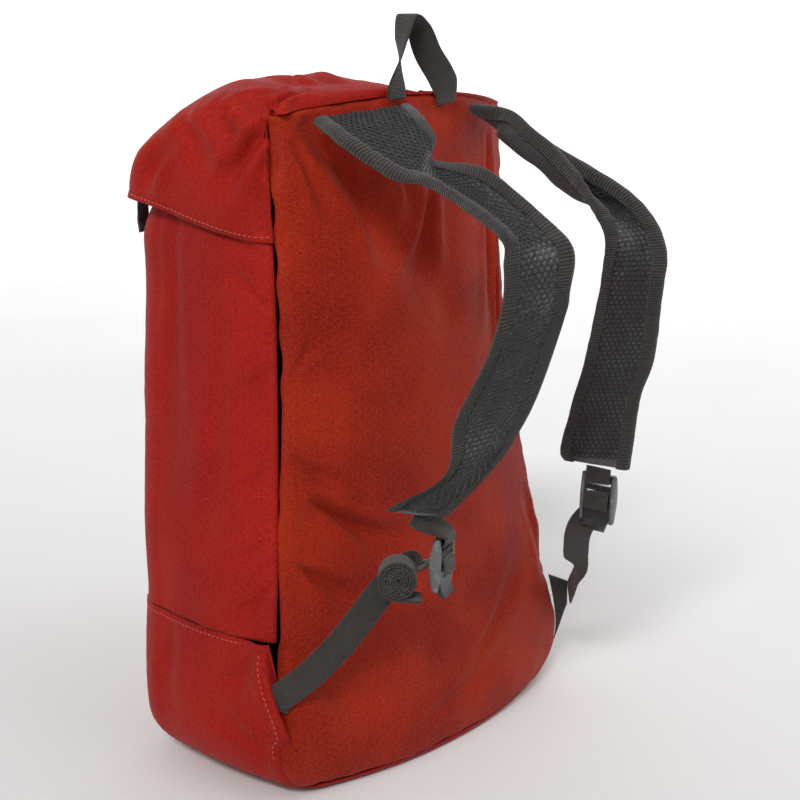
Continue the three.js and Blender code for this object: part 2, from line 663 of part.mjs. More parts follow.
function lockFrame() {
  const half = LOCK_WIDTH / 2;
  const shape = new THREE.Shape();
  shape.moveTo(-half + 2, 0);
  shape.lineTo(half - 2, 0);
  shape.quadraticCurveTo(half, 0, half, 2);
  shape.lineTo(half, LOCK_HEIGHT * 0.7);
  shape.lineTo(half * 0.72, LOCK_HEIGHT);
  shape.lineTo(-half * 0.72, LOCK_HEIGHT);
  shape.lineTo(-half, LOCK_HEIGHT * 0.7);
  shape.lineTo(-half, 2);
  shape.quadraticCurveTo(-half, 0, -half + 2, 0);
  for (const top of [LOCK_BAR, LOCK_BAR * 2 + LOCK_SLOT]) {
    const hole = new THREE.Path();
    const side = half - LOCK_RAIL;
    hole.moveTo(-side, top);
    hole.lineTo(-side, top + LOCK_SLOT);
    hole.lineTo(side, top + LOCK_SLOT);
    hole.lineTo(side, top);
    hole.closePath();
    shape.holes.push(hole);
  }
  const plate = new THREE.ExtrudeGeometry(shape, { depth: LOCK_THICK, bevelEnabled: false, curveSegments: 3 });
  plate.translate(0, -LOCK_HEIGHT / 2, -LOCK_THICK / 2);
  // Ribs on the upper bar, and the lever that stands out at the foot
  let solid = solidOf(plate);
  const rib = 1.2;
  for (let i = -3; i <= 3; i++) {
    const bar = new THREE.BoxGeometry(rib, LOCK_BAR * 0.9, LOCK_THICK + 1.6);
    bar.translate(i * rib * 2.4, -LOCK_HEIGHT / 2 + LOCK_BAR * 1.5 + LOCK_SLOT, 0);
    solid = solid.add(solidOf(bar));
  }
  const lever = new THREE.Shape();
  lever.moveTo(LOCK_HEIGHT * 0.32, -LOCK_THICK / 2);
  lever.lineTo(LOCK_HEIGHT * 0.32, LOCK_THICK / 2);
  lever.quadraticCurveTo(LOCK_HEIGHT * 0.5, LOCK_THICK * 0.6, LOCK_HEIGHT * 0.6, LOCK_THICK * 1.6);
  lever.lineTo(LOCK_HEIGHT * 0.64, LOCK_THICK * 1.2);
  lever.quadraticCurveTo(LOCK_HEIGHT * 0.52, -LOCK_THICK * 0.1, LOCK_HEIGHT * 0.4, -LOCK_THICK / 2);
  lever.closePath();
  const leverWidth = LOCK_WIDTH * 0.68;
  const tab = new THREE.ExtrudeGeometry(lever, { depth: leverWidth, bevelEnabled: false, curveSegments: 5 });
  const turn = new THREE.Matrix4().makeBasis(V(0, 1, 0), V(0, 0, 1), V(1, 0, 0));
  tab.applyMatrix4(turn);
  tab.translate(-leverWidth / 2, 0, 0);
  return geometryOf(solid.add(solidOf(tab)));
}

function lockBasis({ middle, across }) {
  const down = LOCK_DOWN.clone().normalize();
  const side = across.clone().addScaledVector(down, -across.dot(down)).normalize();
  const out = side.clone().cross(down).normalize();
  return new THREE.Matrix4().makeBasis(side, down, out).setPosition(middle);
}

// A point in a lock's own frame, as shares of LOCK_HEIGHT down and of LOCK_THICK out.
function lockPlace(lock, down, out, side = 0) {
  return V(side * LOCK_WIDTH, down * LOCK_HEIGHT, out * LOCK_THICK).applyMatrix4(lockBasis(lock));
}

for (const [side, lock] of Object.entries(LOCKS)) {
  const geometry = lockFrame();
  geometry.applyMatrix4(lockBasis(lock));
  addPiece(`${side}_ladder_lock`, geometry, "plastic");
}

// Short webbing that holds each lock to the end of its strap: through the upper slot and back
const topSlot = (LOCK_BAR + LOCK_SLOT / 2) / LOCK_HEIGHT - 0.5;
for (const [side, rows] of [["left", LEFT_STRAP], ["right", RIGHT_STRAP]]) {
  const lock = LOCKS[side];
  const stations = strapStations(rows);
  const { left, right, down } = stations[stations.length - 1];
  const onLeft = side === "left";
  const strapEnd = left.clone().add(right).multiplyScalar(0.5).addScaledVector(down, 3.6);
  const strapAcross = left.clone().sub(right).lerp(V(-20, 14, 0), 0.75).normalize();
  const link = webbing(
    [
      [onLeft ? strapEnd : lockPlace(lock, -0.64, 0.75), onLeft ? strapAcross : lock.across],
      [lockPlace(lock, -0.53, 0.8), lock.across],
      [lockPlace(lock, -0.46, 1.05), lock.across],
      [lockPlace(lock, topSlot, 0.7), lock.across],
      [lockPlace(lock, topSlot, 0), lock.across],
      [lockPlace(lock, topSlot, -0.7), lock.across],
      [lockPlace(lock, topSlot - 0.12, -1.05), lock.across],
    ],
    WEB_WIDTH,
    3,
  );
  addPiece(`${side}_strap_link`, link, "grosgrain");
}

// Lower webbing: out of each open lower corner seam, up behind its lock, through the lower slot and down in front
const lowSlot = (LOCK_BAR * 2 + LOCK_SLOT * 1.5) / LOCK_HEIGHT - 0.5;
const throughLock = (lock) => [
  [lockPlace(lock, lowSlot + 0.18, -2.3), lock.across],
  [lockPlace(lock, lowSlot + 0.06, -1.45), lock.across],
  [lockPlace(lock, lowSlot, -0.75), lock.across],
  [lockPlace(lock, lowSlot - 0.02, 0), lock.across],
  [lockPlace(lock, lowSlot, 0.75), lock.across],
  [lockPlace(lock, lowSlot + 0.14, 1.2), lock.across],
  [lockPlace(lock, lowSlot + 0.3, 1.2), lock.across],
];
const cornerAt = (side, height, out) => {
  const point = outlinePoint({ on: side, at: 0 }, height);
  return point.clone().addScaledVector(point.outward, out);
};
const WEB_EXIT_HEIGHT = 78; // where the lower webbing leaves the corner seam
const LEFT_WEB_ACROSS = V(-0.35, 0.65, 0.68);
const leftRows = [
  [cornerAt("left", WEB_EXIT_HEIGHT / BAG_HEIGHT, 4.4), V(-0.35, 0.45, 0.8)],
  [strapPlace(-1.15, 0.27, 0.204), LEFT_WEB_ACROSS],
  [strapPlace(-1.0, 0.34, 0.248), LEFT_WEB_ACROSS],
  [strapPlace(-0.79, 0.445, 0.332), LEFT_WEB_ACROSS],
  [strapPlace(-0.65, 0.48, 0.358), V(-0.7, 0.4, 0.5)],
  [strapPlace(-0.595, 0.515, 0.36), V(-0.95, -0.3, 0.1)],
  ...throughLock(LOCKS.left),
];
addPiece("left_lower_webbing", webbing(leftRows, WEB_WIDTH, 3), "grosgrain");

// Tab that holds the right webbing in its corner seam: wide along the seam, webbing wide at its tip
const TAB_SPREAD = 56; // length along the seam
const TAB_REACH = 12;
const TAB_MIDDLE = 56; // height of its middle
const VIEW_RIGHT = V(0.64, -0.77, 0);
const tabTip = cornerAt("right", TAB_MIDDLE / BAG_HEIGHT, 1).addScaledVector(VIEW_RIGHT, TAB_REACH);
tabTip.z += 12;
const tabGrid = [0, 0.35, 0.7, 1].map((k) =>
  [-0.5, 0, 0.5].map((share) => {
    const foot = cornerAt("right", (TAB_MIDDLE + share * TAB_SPREAD) / BAG_HEIGHT, 2.4);
    return foot.lerp(tabTip.clone().add(V(0, 0, share * WEB_WIDTH)), k);
  }),
);
addPiece("right_corner_tab", sheet(tabGrid, CLOTH), "black");

const rightRows = [
  [tabTip.clone().addScaledVector(VIEW_RIGHT, 1.8), V(-0.1, 0, 1)],
  [strapPlace(0.98, 0.45, 0.225), V(-0.5, -0.3, 0.8)],
  [strapPlace(0.8, 0.53, 0.28), V(-0.6, 0.7, 0.4)],
  [strapPlace(0.66, 0.62, 0.34), V(-0.12, 0.99, 0)],
  ...throughLock(LOCKS.right),
];
addPiece("right_lower_webbing", webbing(rightRows, WEB_WIDTH, 3), "grosgrain");

// The spare end of the left webbing, wound into a flat roll beside its lock
const ROLL_AXIS = V(0.77, 0.64, 0);
const ROLL_CORE = 2.4;
const ROLL_STEPS = 13; // stations of a turn
const rollMiddle = strapPlace(-0.835, 0.525, 0.354);
const rollPitch = WEB_THICK + 0.4;
const rollCount = Math.round(((ROLL_DIAMETER / 2 - ROLL_CORE) / rollPitch) * ROLL_STEPS);
const rollFaces = [[], []];
const rollStation = (place) =>
  [WEB_THICK / 2, -WEB_THICK / 2].forEach((lift, side) => {
    const [u, w] = place(lift);
    const at = rollMiddle.clone().addScaledVector(VIEW_RIGHT, u).add(V(0, 0, w));
    rollFaces[side].push([-0.5, 0.5].map((share) => at.clone().addScaledVector(ROLL_AXIS, share * WEB_WIDTH)));
  });
for (let i = 0; i <= rollCount; i++) {
  const angle = -Math.PI / 2 - ((rollCount - i) / ROLL_STEPS) * 2 * Math.PI;
  const radius = ROLL_CORE + (rollPitch * i) / ROLL_STEPS;
  rollStation((lift) => [Math.cos(angle) * (radius + lift), Math.sin(angle) * (radius + lift)]);
}
for (const u of [6, 12, 16]) rollStation((lift) => [u, -ROLL_DIAMETER / 2 - lift - u * 0.08]);
addPiece("webbing_roll", slab(rollFaces[0], rollFaces[1]), "grosgrain");

// Webbing ends that hold the lid down, at the front corners
const LID_STRAP_FOOT = 0.81;
for (const side of ["left", "right"]) {
  const grid = Array.from({ length: 5 }, (_, j) => {
    const height = mix(0.86, LID_STRAP_FOOT, j / 4);
    return [0.88, 0.96].map((at) => outlinePoint({ on: side, at }, height, 3.2 - 0.8 * smooth(height, 0.846, 0.86)));
  });
  addPiece(`${side}_lid_strap`, sheet(grid, WEB_THICK), "black");
}

export default bag;
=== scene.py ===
# Looks of the packable backpack: ripstop cloth, mesh straps with tape edges, webbing and moulded buckles.
import math

import bmesh
import bpy
import numpy as np
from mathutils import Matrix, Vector


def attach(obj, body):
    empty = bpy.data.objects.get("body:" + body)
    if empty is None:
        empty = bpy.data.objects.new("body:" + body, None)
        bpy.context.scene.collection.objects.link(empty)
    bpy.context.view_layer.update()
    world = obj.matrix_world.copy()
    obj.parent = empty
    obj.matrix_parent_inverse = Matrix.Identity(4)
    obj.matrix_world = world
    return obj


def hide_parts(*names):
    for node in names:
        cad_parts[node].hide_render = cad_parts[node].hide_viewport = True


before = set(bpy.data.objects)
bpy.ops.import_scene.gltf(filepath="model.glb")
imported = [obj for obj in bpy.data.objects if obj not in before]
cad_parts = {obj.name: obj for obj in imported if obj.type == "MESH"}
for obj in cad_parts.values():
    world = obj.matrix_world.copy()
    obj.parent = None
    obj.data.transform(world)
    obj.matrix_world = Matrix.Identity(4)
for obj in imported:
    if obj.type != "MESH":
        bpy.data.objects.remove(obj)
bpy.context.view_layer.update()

# Sizes in millimetres, the same as the part's own
BAG_HEIGHT = 471
TOP_WIDTH = 262
BASE_FLARE = 36
BAG_DEPTH = 158
BACK_LEAN = 38
BACK_BULGE = 30
FRONT_BULGE = 26
SIDE_BULGE = 7
BACK_CORNER_RADIUS = 13
FRONT_CORNER_RADIUS = 40
BASE_RADIUS = 30
BACK_ROUNDING = 0.3
CLOTH = 1.6
SEAM_GAP = 0.4
TOP_SEAM_CROWN = 12
BOOT_HEIGHT = 115
BACK_HEM_HEIGHT = 5
MOUTH_DROP = 34
MOUTH_DRAW = 24
FLAP_RISE = 26
FLAP_HEM_BACK = 84
FLAP_HEM_FRONT = 62
FLAP_OVERHANG = 4
FLAP_LAP = 1.4
WEB_WIDTH = 20
WEB_THICK = 1.6
STRAP_WIDTH = 52
STRAP_REACH = 180
GRAB_HEIGHT = 56
GRAB_SPAN = 52
ROLL_DIAMETER = 27
LOCK_HEIGHT = 38
LOCK_THICK = 4
LOCK_BAR = 4
LOCK_SLOT = 5
MM = 0.001

# Points along each stretch of a piece's mesh, and rows up or down it
BACK_COLUMNS = 150
BACK_ROWS = 190
WRAP_COLUMNS = 84
WRAP_ROWS = 120
BOOT_BACK_COLUMNS = 90
BOOT_WALL_ROWS = 34
BOOT_ROUND_ROWS = 12
BOOT_FLOOR_ROWS = 8
LID_BACK_COLUMNS = 100
LID_SKIRT_ROWS = 26
LID_DOME_ROWS = 56
RING_SIDE_COLUMNS = 70
RING_FRONT_COLUMNS = 80
HEM_COLUMNS = 60
PAD_ROWS = 330
PAD_COLUMNS = 41
TAPE_ROWS = 420
WEB_STEPS = 14
WEB_COLUMNS = 13

# Camera of the photograph, in metres and degrees
CAMERA_PLACE = (-0.8957, -0.797, 0.521)
CAMERA_PITCH = 12.7
CAMERA_YAW = -50
CAMERA_LENS = 72


def smooth(x, low, high):
    t = np.clip((np.asarray(x, float) - low) / (high - low), 0, 1)
    return t * t * (3 - 2 * t)


def mix(a, b, t):
    return a + (b - a) * t


def read_table(rows, at):
    """Values of a table of rows [at, value, ...] at one place, with smooth joins."""
    if at <= rows[0][0]:
        return np.array(rows[0][1:], float)
    if at >= rows[-1][0]:
        return np.array(rows[-1][1:], float)
    k = next(i for i, row in enumerate(rows) if row[0] > at) - 1
    before, a, b = (np.array(rows[i], float) for i in (max(k - 1, 0), k, k + 1))
    after = np.array(rows[min(k + 2, len(rows) - 1)], float)
    step = b[0] - a[0]
    t = (at - a[0]) / step
    slope_a = (b - before)[1:] / ((b - before)[0] or 1)
    slope_b = (after - a)[1:] / ((after - a)[0] or 1)
    return (
        (2 * t**3 - 3 * t**2 + 1) * a[1:]
        + (t**3 - 2 * t**2 + t) * slope_a * step
        + (3 * t**2 - 2 * t**3) * b[1:]
        + (t**3 - t**2) * slope_b * step
    )


def table_at(rows, places):
    """The table read at many places: one array for each value column."""
    dense = np.linspace(rows[0][0], rows[-1][0], 241)
    values = np.array([read_table(rows, at) for at in dense])
    return [np.interp(places, dense, values[:, c]) for c in range(values.shape[1])]


def lattice(i, j, seed):
    value = np.sin(i * 127.1 + j * 311.7 + seed * 74.7) * 43758.5453
    return value - np.floor(value)


def soft_noise(u, v, seed):
    """Smooth noise between -1 and 1, one hill for each unit of u and v."""
    i, j = np.floor(u), np.floor(v)
    fu, fv = u - i, v - j
    fu, fv = (f * f * f * (f * (6 * f - 15) + 10) for f in (fu, fv))
    low = mix(lattice(i, j, seed), lattice(i + 1, j, seed), fu)
    high = mix(lattice(i, j + 1, seed), lattice(i + 1, j + 1, seed), fu)
    return 2 * mix(low, high, fv) - 1


def folds_noise(u, v, seed, rounds=3):
    total = 0
    for k in range(rounds):
        total = total + soft_noise(u * 1.9**k, v * 1.9**k, seed + k * 13) / 1.9**k
    return total


def unit(v):
    return v / np.maximum(np.linalg.norm(v, axis=-1, keepdims=True), 1e-9)


def V(*values):
    return np.array(values, float)


# Meshes
def make_mesh(name, points, faces, material, flat=None):
    """A mesh object from points in millimetres. flat holds each point's place on the cloth."""
    points = np.asarray(points, float).reshape(-1, 3) * MM
    mesh = bpy.data.meshes.new(name)
    mesh.from_pydata(points.tolist(), [], [tuple(int(i) for i in face) for face in faces])
    mesh.validate()
    if flat is not None:
        layer = mesh.attributes.new("flat", "FLOAT_VECTOR", "POINT")
        layer.data.foreach_set("vector", np.asarray(flat, np.float32).reshape(-1))
    mesh.materials.append(material)
    mesh.polygons.foreach_set("use_smooth", [True] * len(mesh.polygons))
    piece = bpy.data.objects.new(name, mesh)
    bpy.context.scene.collection.objects.link(piece)
    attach(piece, "root")
    return piece


def grid_faces(rows, columns, start=0, closed=False, flip=False):
    stretches = rows if closed else rows - 1
    i, j = np.meshgrid(np.arange(stretches), np.arange(columns - 1), indexing="ij")
    n = (i + 1) % rows
    quads = np.stack([i * columns + j, n * columns + j, n * columns + j + 1, i * columns + j + 1], -1)
    quads = quads.reshape(-1, 4) + start
    return quads[:, ::-1] if flip else quads


def slab(front, back, closed=False):
    """Points and quads of a closed body between two grids that face each other."""
    rows, columns = front.shape[:2]
    count = rows * columns
    faces = [grid_faces(rows, columns, 0, closed), grid_faces(rows, columns, count, closed, flip=True)]
    i = np.arange(rows if closed else rows - 1)
    n = (i + 1) % rows
    last = columns - 1
    faces.append(np.stack([n, i, i, n], -1) * columns + np.array([0, 0, count, count]))
    faces.append(np.stack([i, n, n, i], -1) * columns + np.array([last, last, count + last, count + last]))
    if not closed:
        j = np.arange(columns - 1)
        end = (rows - 1) * columns
        faces.append(np.stack([j, j + 1, count + j + 1, count + j], -1))
        faces.append(np.stack([end + j + 1, end + j, count + end + j, count + end + j + 1], -1))
    points = np.concatenate([front.reshape(-1, 3), back.reshape(-1, 3)])
    faces = np.concatenate(faces)
    a, b, c = (points[faces[:, k]] for k in (0, 1, 2))
    d = points[faces[:, 3]]
    volume = np.sum(a * np.cross(b, c)) + np.sum(a * np.cross(c, d))
    return points, faces if volume > 0 else faces[:, ::-1]


def grid_normals(grid, closed=False):
    if closed:
        along = np.roll(grid, -1, 0) - np.roll(grid, 1, 0)
    else:
        along = np.gradient(grid, axis=0)
    return unit(np.cross(along, np.gradient(grid, axis=1)))


def slab_piece(name, nodes, front, back, flat, material, slot, closed=False):
    """A closed body between two grids, in place of one or more nodes."""
    points, faces = slab(front, back, closed)
    piece = make_mesh(name, points, faces, material, np.concatenate([flat, flat]))
    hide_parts(*nodes)
    return piece


def rod(points, faces, rings):
    """Adds a closed body through a row of rings to points and faces."""
    start, around = len(points), len(rings[0])
    for ring in rings:
        points.extend(ring)
    for i in range(len(rings) - 1):
        for k in range(around):
            n = (k + 1) % around
            low, high = start + i * around, start + (i + 1) * around
            faces.append((low + k, low + n, high + n, high + k))
    faces.append(tuple(start + k for k in reversed(range(around))))
    faces.append(tuple(start + (len(rings) - 1) * around + k for k in range(around)))


def flat_of(u, v):
    return np.stack([u, v, np.zeros_like(u)], -1).reshape(-1, 3)


def run_of(points):
    """Length along a line, from its first point to each point."""
    return np.concatenate([[0], np.cumsum(np.linalg.norm(np.diff(points, axis=0), axis=-1))])


def run_down(grid):
    """Length down each line of a grid, from its first point to each point."""
    step = np.linalg.norm(np.diff(grid, axis=1), axis=-1)
    return np.cumsum(np.concatenate([0 * step[:, :1], step], 1), 1)


def line_at(values, run, at):
    """The values of a line, read at one or more lengths along it."""
    return np.stack([np.interp(at, run, values[:, c]) for c in range(3)], -1)


# Outline of the bag
SECTIONS = [
    # height, flare, lean, depth, back bulge, front bulge, side bulge
    [0.0, 0.74, 1.05, 1.02, 0.88, 0.4, 0.4],
    [0.09, 1.02, 1.02, 1.03, 0.8, 0.6, 0.8],
    [0.22, 0.84, 0.79, 1.0, 0.78, 0.85, 1.0],
    [0.34, 0.58, 0.62, 1.02, 0.8, 1.0, 1.0],
    [0.55, 0.16, 0.3, 1.03, 1.0, 1.0, 0.9],
    [0.75, -0.02, 0.12, 1.0, 1.0, 0.9, 0.8],
    [0.9, 0.0, 0.04, 1.0, 0.95, 0.7, 0.5],
    [1.0, 0.0, 0.0, 0.96, 0.85, 0.6, 0.3],
]
CREASES = [
    # panel, across0, height0, across1, height1, depth, width
    ["back", 0.1, 0.97, 0.42, 0.78, 0.16, 0.6],
    ["back", 0.6, 0.9, 0.56, 0.7, 0.13, 0.5],
    ["back", 0.93, 0.82, 0.93, 0.62, 0.22, 0.28],
    ["back", 0.1, 0.42, 0.3, 0.35, 0.1, 0.4],
    ["back", 0.06, 0.33, 0.22, 0.28, 0.1, 0.4],
    ["left", 0.96, 1.0, 0.97, 0.84, 0.25, 0.3],
    ["left", 0.98, 0.18, 0.9, 0.06, 0.12, 0.3],
    ["right", 0.03, 1.0, 0.04, 0.84, 0.2, 0.3],
    ["right", 0.05, 0.2, 0.12, 0.08, 0.12, 0.3],
]
QUARTER = math.pi / 4


def crease_depth(panel, across, height):
    depth = np.zeros(np.broadcast(across, height).shape)
    for on, a0, h0, a1, h1, deep, wide in CREASES:
        if on != panel:
            continue
        px, py = (across - a0) * TOP_WIDTH, (height - h0) * BAG_HEIGHT
        dx, dy = (a1 - a0) * TOP_WIDTH, (h1 - h0) * BAG_HEIGHT
        t = np.clip((px * dx + py * dy) / (dx * dx + dy * dy), 0, 1)
        away = np.hypot(px - dx * t, py - dy * t) / (wide * BACK_BULGE)
        depth = depth + deep * BACK_BULGE * np.exp(-away * away)
    return depth


def outline(on, at, height, proud=0.0):
    """Points and outward directions of the bag's outer face. at runs along one stretch of its outline."""
    at, height = np.broadcast_arrays(np.asarray(at, float), np.asarray(height, float))
    z = height * BAG_HEIGHT
    up = np.clip(BASE_RADIUS - z, 0, BASE_RADIUS)
    inset = np.where(z < BASE_RADIUS, BASE_RADIUS - np.sqrt(BASE_RADIUS**2 - up**2), 0)
    flare, lean, depth_share, back_share, front_share, side_share = table_at(SECTIONS, height)
    half = TOP_WIDTH / 2 + BASE_FLARE * flare - inset
    wall = -BAG_DEPTH / 2 + BACK_LEAN * (1 - lean)
    y_back = wall + inset * BACK_ROUNDING
    y_front = wall + BAG_DEPTH * depth_share - inset
    rb, rf = BACK_CORNER_RADIUS, FRONT_CORNER_RADIUS
    back_flat, front_flat = half - rb, half - rf
    side_flat = y_front - rf - (y_back + rb)
    arc_b, arc_f = rb * QUARTER, rf * QUARTER * 2
    if on == "back":
        length = 2 * back_flat + 2 * arc_b
        s = at * length
        from_end = np.minimum(s, length - s)
        turn = QUARTER * (1 - np.minimum(from_end / arc_b, 1))
        side = np.where(s < length / 2, -1, 1)
        on_arc = from_end < arc_b
        nx = np.where(on_arc, side * np.sin(turn), 0)
        ny = np.where(on_arc, -np.cos(turn), -1)
        x = np.where(on_arc, side * back_flat + rb * nx, s - arc_b - back_flat)
        y = np.where(on_arc, y_back + rb + rb * ny, y_back)
        y = y - BACK_BULGE * back_share * (1 - np.abs(2 * at - 1) ** 2.2)
    elif on == "front":
        x = mix(front_flat, -front_flat, at)
        nx, ny = np.zeros_like(x), np.ones_like(x)
        y = y_front + FRONT_BULGE * front_share * (1 - (2 * at - 1) ** 2)
    else:
        length = arc_b + side_flat + arc_f
        s = at * length
        turn_b = QUARTER * (1 + s / arc_b)
        turn_f = math.pi / 2 * (1 - (length - s) / arc_f)
        first, last = s < arc_b, s > length - arc_f
        nx = np.where(first, np.sin(turn_b), np.where(last, np.cos(turn_f), 1))
        ny = np.where(first, -np.cos(turn_b), np.where(last, np.sin(turn_f), 0))
        x = np.where(first, back_flat + rb * nx, np.where(last, front_flat + rf * nx, half))
        y = np.where(first, y_back + rb + rb * ny, y_back + rb + s - arc_b)
        y = np.where(last, y_front - rf + rf * ny, y)
        x = x + SIDE_BULGE * side_share * np.sin(math.pi * np.clip(s / (arc_b + side_flat), 0, 1))
        if on == "left":
            x, nx = -x, -nx
    across = 1 - at if on == "left" else at
    push = proud - crease_depth(on, across, height)
    point = np.stack([x + nx * push, y + ny * push, z], -1)
    dip = up / BASE_RADIUS
    level = np.sqrt(1 - dip * dip)
    return point, np.stack([nx * level, ny * level, -dip], -1)


def top_seam(across):
    return 1 + TOP_SEAM_CROWN / BAG_HEIGHT * (1 - (2 * across - 1) ** 2)


# Materials
class Shader:
    """A material's node tree, built up with short calls."""

    def __init__(self, name, roughness, colour=(0.5, 0.5, 0.5), **sockets):
        self.material = bpy.data.materials.new(name)
        self.material.use_nodes = True
        self.tree = self.material.node_tree
        self.shader = self.tree.nodes["Principled BSDF"]
        self.shader.inputs["Base Color"].default_value = (*colour, 1)
        self.shader.inputs["Roughness"].default_value = roughness
        for socket, value in sockets.items():
            self.shader.inputs[socket.replace("_", " ")].default_value = value
        self.height = None

    def node(self, kind, inputs=(), **settings):
        made = self.tree.nodes.new(kind)
        for key, value in settings.items():
            setattr(made, key, value)
        for socket, value in dict(inputs).items():
            if isinstance(value, bpy.types.NodeSocket):
                self.tree.links.new(value, made.inputs[socket])
            else:
                made.inputs[socket].default_value = value
        return made

    def math(self, operation, a, b=0.0):
        return self.node("ShaderNodeMath", {0: a, 1: b}, operation=operation).outputs[0]

    def flat(self):
        """Places on the cloth, in millimetres: across, along."""
        attribute = self.node("ShaderNodeAttribute", attribute_name="flat")
        split = self.node("ShaderNodeSeparateXYZ", {0: attribute.outputs["Vector"]})
        return split.outputs[0], split.outputs[1]

    def noise(self, size, detail=2.0, roughness=0.5):
        """Noise with features of that many millimetres, in the part's own space."""
        place = self.node("ShaderNodeTexCoord").outputs["Object"]
        inputs = {"Vector": place, "Scale": 1 / (size * MM), "Detail": detail, "Roughness": roughness}
        return self.node("ShaderNodeTexNoise", inputs).outputs[0]

    def ramp(self, value, low, high, to_low=0.0, to_high=1.0):
        inputs = {"Value": value, "From Min": low, "From Max": high, "To Min": to_low, "To Max": to_high}
        return self.node("ShaderNodeMapRange", inputs, clamp=True).outputs[0]

    def blend(self, factor, a, b):
        made = self.node("ShaderNodeMix", data_type="RGBA")
        for socket, value in (("Factor", factor), ("A", a), ("B", b)):
            entry = next(i for i in made.inputs if i.name == socket and i.enabled)
            if isinstance(value, bpy.types.NodeSocket):
                self.tree.links.new(value, entry)
            else:
                entry.default_value = (*value, 1) if isinstance(value, tuple) else value
        return next(o for o in made.outputs if o.enabled)

    def colour(self, socket):
        self.tree.links.new(socket, self.shader.inputs["Base Color"])

    def rough(self, socket):
        self.tree.links.new(socket, self.shader.inputs["Roughness"])

    def bump(self, height, distance, strength=1.0):
        """Adds a relief of that many millimetres over what is there."""
        inputs = {"Height": height, "Distance": distance * MM, "Strength": strength}
        if self.height:
            inputs["Normal"] = self.height
        self.height = self.node("ShaderNodeBump", inputs).outputs[0]
        self.tree.links.new(self.height, self.shader.inputs["Normal"])

    def wave(self, value, pitch, phase=0.0):
        turned = self.math("MULTIPLY_ADD", value, 2 * math.pi / pitch)
        turned.node.inputs[2].default_value = phase
        return self.math("COSINE", turned)


def shell_cloth(name, deep, warm):
    """Coated ripstop: speckled weave, faint honeycomb threads and slow changes of tone. Where the deep tone
    is set darker, as on the back cloth, the slow dark patches are painted shade.
    """
    made = Shader(name, 0.62, Sheen_Weight=0.03, Sheen_Roughness=0.5, Specular_IOR_Level=0.12)
    u, v = made.flat()
    cell = 5.2
    third = 0.866
    first = made.wave(u, cell)
    half_u = made.math("MULTIPLY", u, 0.5)
    rise = made.math("MULTIPLY", v, third)
    second = made.wave(made.math("ADD", half_u, rise), cell)
    last = made.wave(made.math("SUBTRACT", half_u, rise), cell)
    comb = made.ramp(made.math("ADD", made.math("ADD", first, second), last), -0.75, -1.2)
    speckle = made.noise(0.85, 1.0)
    grain = made.noise(2.2, 3.0, 0.7)
    slow = made.noise(70, 2.0)
    # Slow changes between deep and warm tone; with the back cloth's darker deep tone they are painted shade
    tone = made.blend(made.ramp(slow, 0.35, 0.65), deep, warm)
    dark = tuple(c * 0.62 for c in deep)
    light = tuple(min(c * 1.5 + 0.012, 1) for c in warm)
    tone = made.blend(made.ramp(speckle, 0.54, 0.72, 0, 0.5), tone, light)
    tone = made.blend(made.ramp(speckle, 0.47, 0.32, 0, 0.65), tone, dark)
    tone = made.blend(made.ramp(grain, 0.4, 0.7, 0, 0.18), tone, dark)
    tone = made.blend(made.math("MULTIPLY", comb, 0.13), tone, light)
    made.colour(tone)
    made.rough(made.ramp(grain, 0.3, 0.7, 0.55, 0.72))
    made.bump(speckle, 0.12)
    weave = made.math("MULTIPLY", made.wave(u, 0.9), made.wave(v, 0.9))
    made.bump(weave, 0.03)
    made.bump(comb, 0.06)
    made.bump(made.noise(14, 3.0), 0.5)
    return made.material


def ribbed_tape(name, colour, pitch, relief):
    """Grosgrain: ribs across its length, with a little fluff, and painted shade in the grooves between the
    ribs, which leaves the rib tops lighter.
    """
    made = Shader(name, 0.8, Sheen_Weight=0.25, Sheen_Roughness=0.4, Specular_IOR_Level=0.25)
    u, v = made.flat()
    wander = made.math("MULTIPLY", made.noise(6, 1.0), 0.5)
    rib = made.wave(made.math("ADD", v, wander), pitch)
    thread = made.wave(u, 0.75)
    fluff = made.noise(0.6, 2.0)
    dark = tuple(c * 0.35 for c in colour)
    light = tuple(c * 1.7 for c in colour)
    # Painted shade: the grooves between the ribs are darkened, so the rib tops look lighter
    tone = made.blend(made.ramp(rib, -0.7, 0.6), dark, colour)
    tone = made.blend(made.ramp(fluff, 0.52, 0.75, 0, 0.6), tone, light)
    tone = made.blend(made.ramp(made.noise(25, 2.0), 0.4, 0.7, 0, 0.3), tone, dark)
    made.colour(tone)
    made.bump(rib, relief)
    made.bump(thread, 0.05)
    made.bump(fluff, 0.12)
    return made.material


def mesh_thread():
    made = Shader("mesh_thread", 0.42, (0.012, 0.012, 0.013), Specular_IOR_Level=0.55, Sheen_Weight=0.1)
    fine = made.noise(0.5, 2.0)
    made.colour(made.blend(made.ramp(fine, 0.4, 0.8), (0.006, 0.006, 0.007), (0.02, 0.02, 0.02)))
    made.bump(fine, 0.15)
    return made.material


def foam_skin():
    made = Shader("foam_skin", 0.5, (0.05, 0.05, 0.052), Specular_IOR_Level=0.5)
    fine = made.noise(0.9, 3.0)
    slow = made.noise(18, 2.0)
    tone = made.blend(made.ramp(fine, 0.35, 0.65), (0.025, 0.025, 0.026), (0.19, 0.19, 0.195))
    made.colour(made.blend(made.ramp(slow, 0.4, 0.62, 0, 0.55), tone, (0.03, 0.03, 0.032)))
    made.bump(fine, 0.3)
    return made.material


def black_cloth():
    made = Shader("black_cloth", 0.72, (0.022, 0.02, 0.019), Sheen_Weight=0.15)
    u, v = made.flat()
    fine = made.noise(0.8, 2.0)
    made.colour(made.blend(made.ramp(fine, 0.4, 0.75), (0.012, 0.011, 0.011), (0.05, 0.046, 0.044)))
    made.bump(made.math("MULTIPLY", made.wave(u, 1.1), made.wave(v, 1.1)), 0.05)
    made.bump(fine, 0.12)
    made.bump(made.noise(9, 2.0), 0.3)
    return made.material


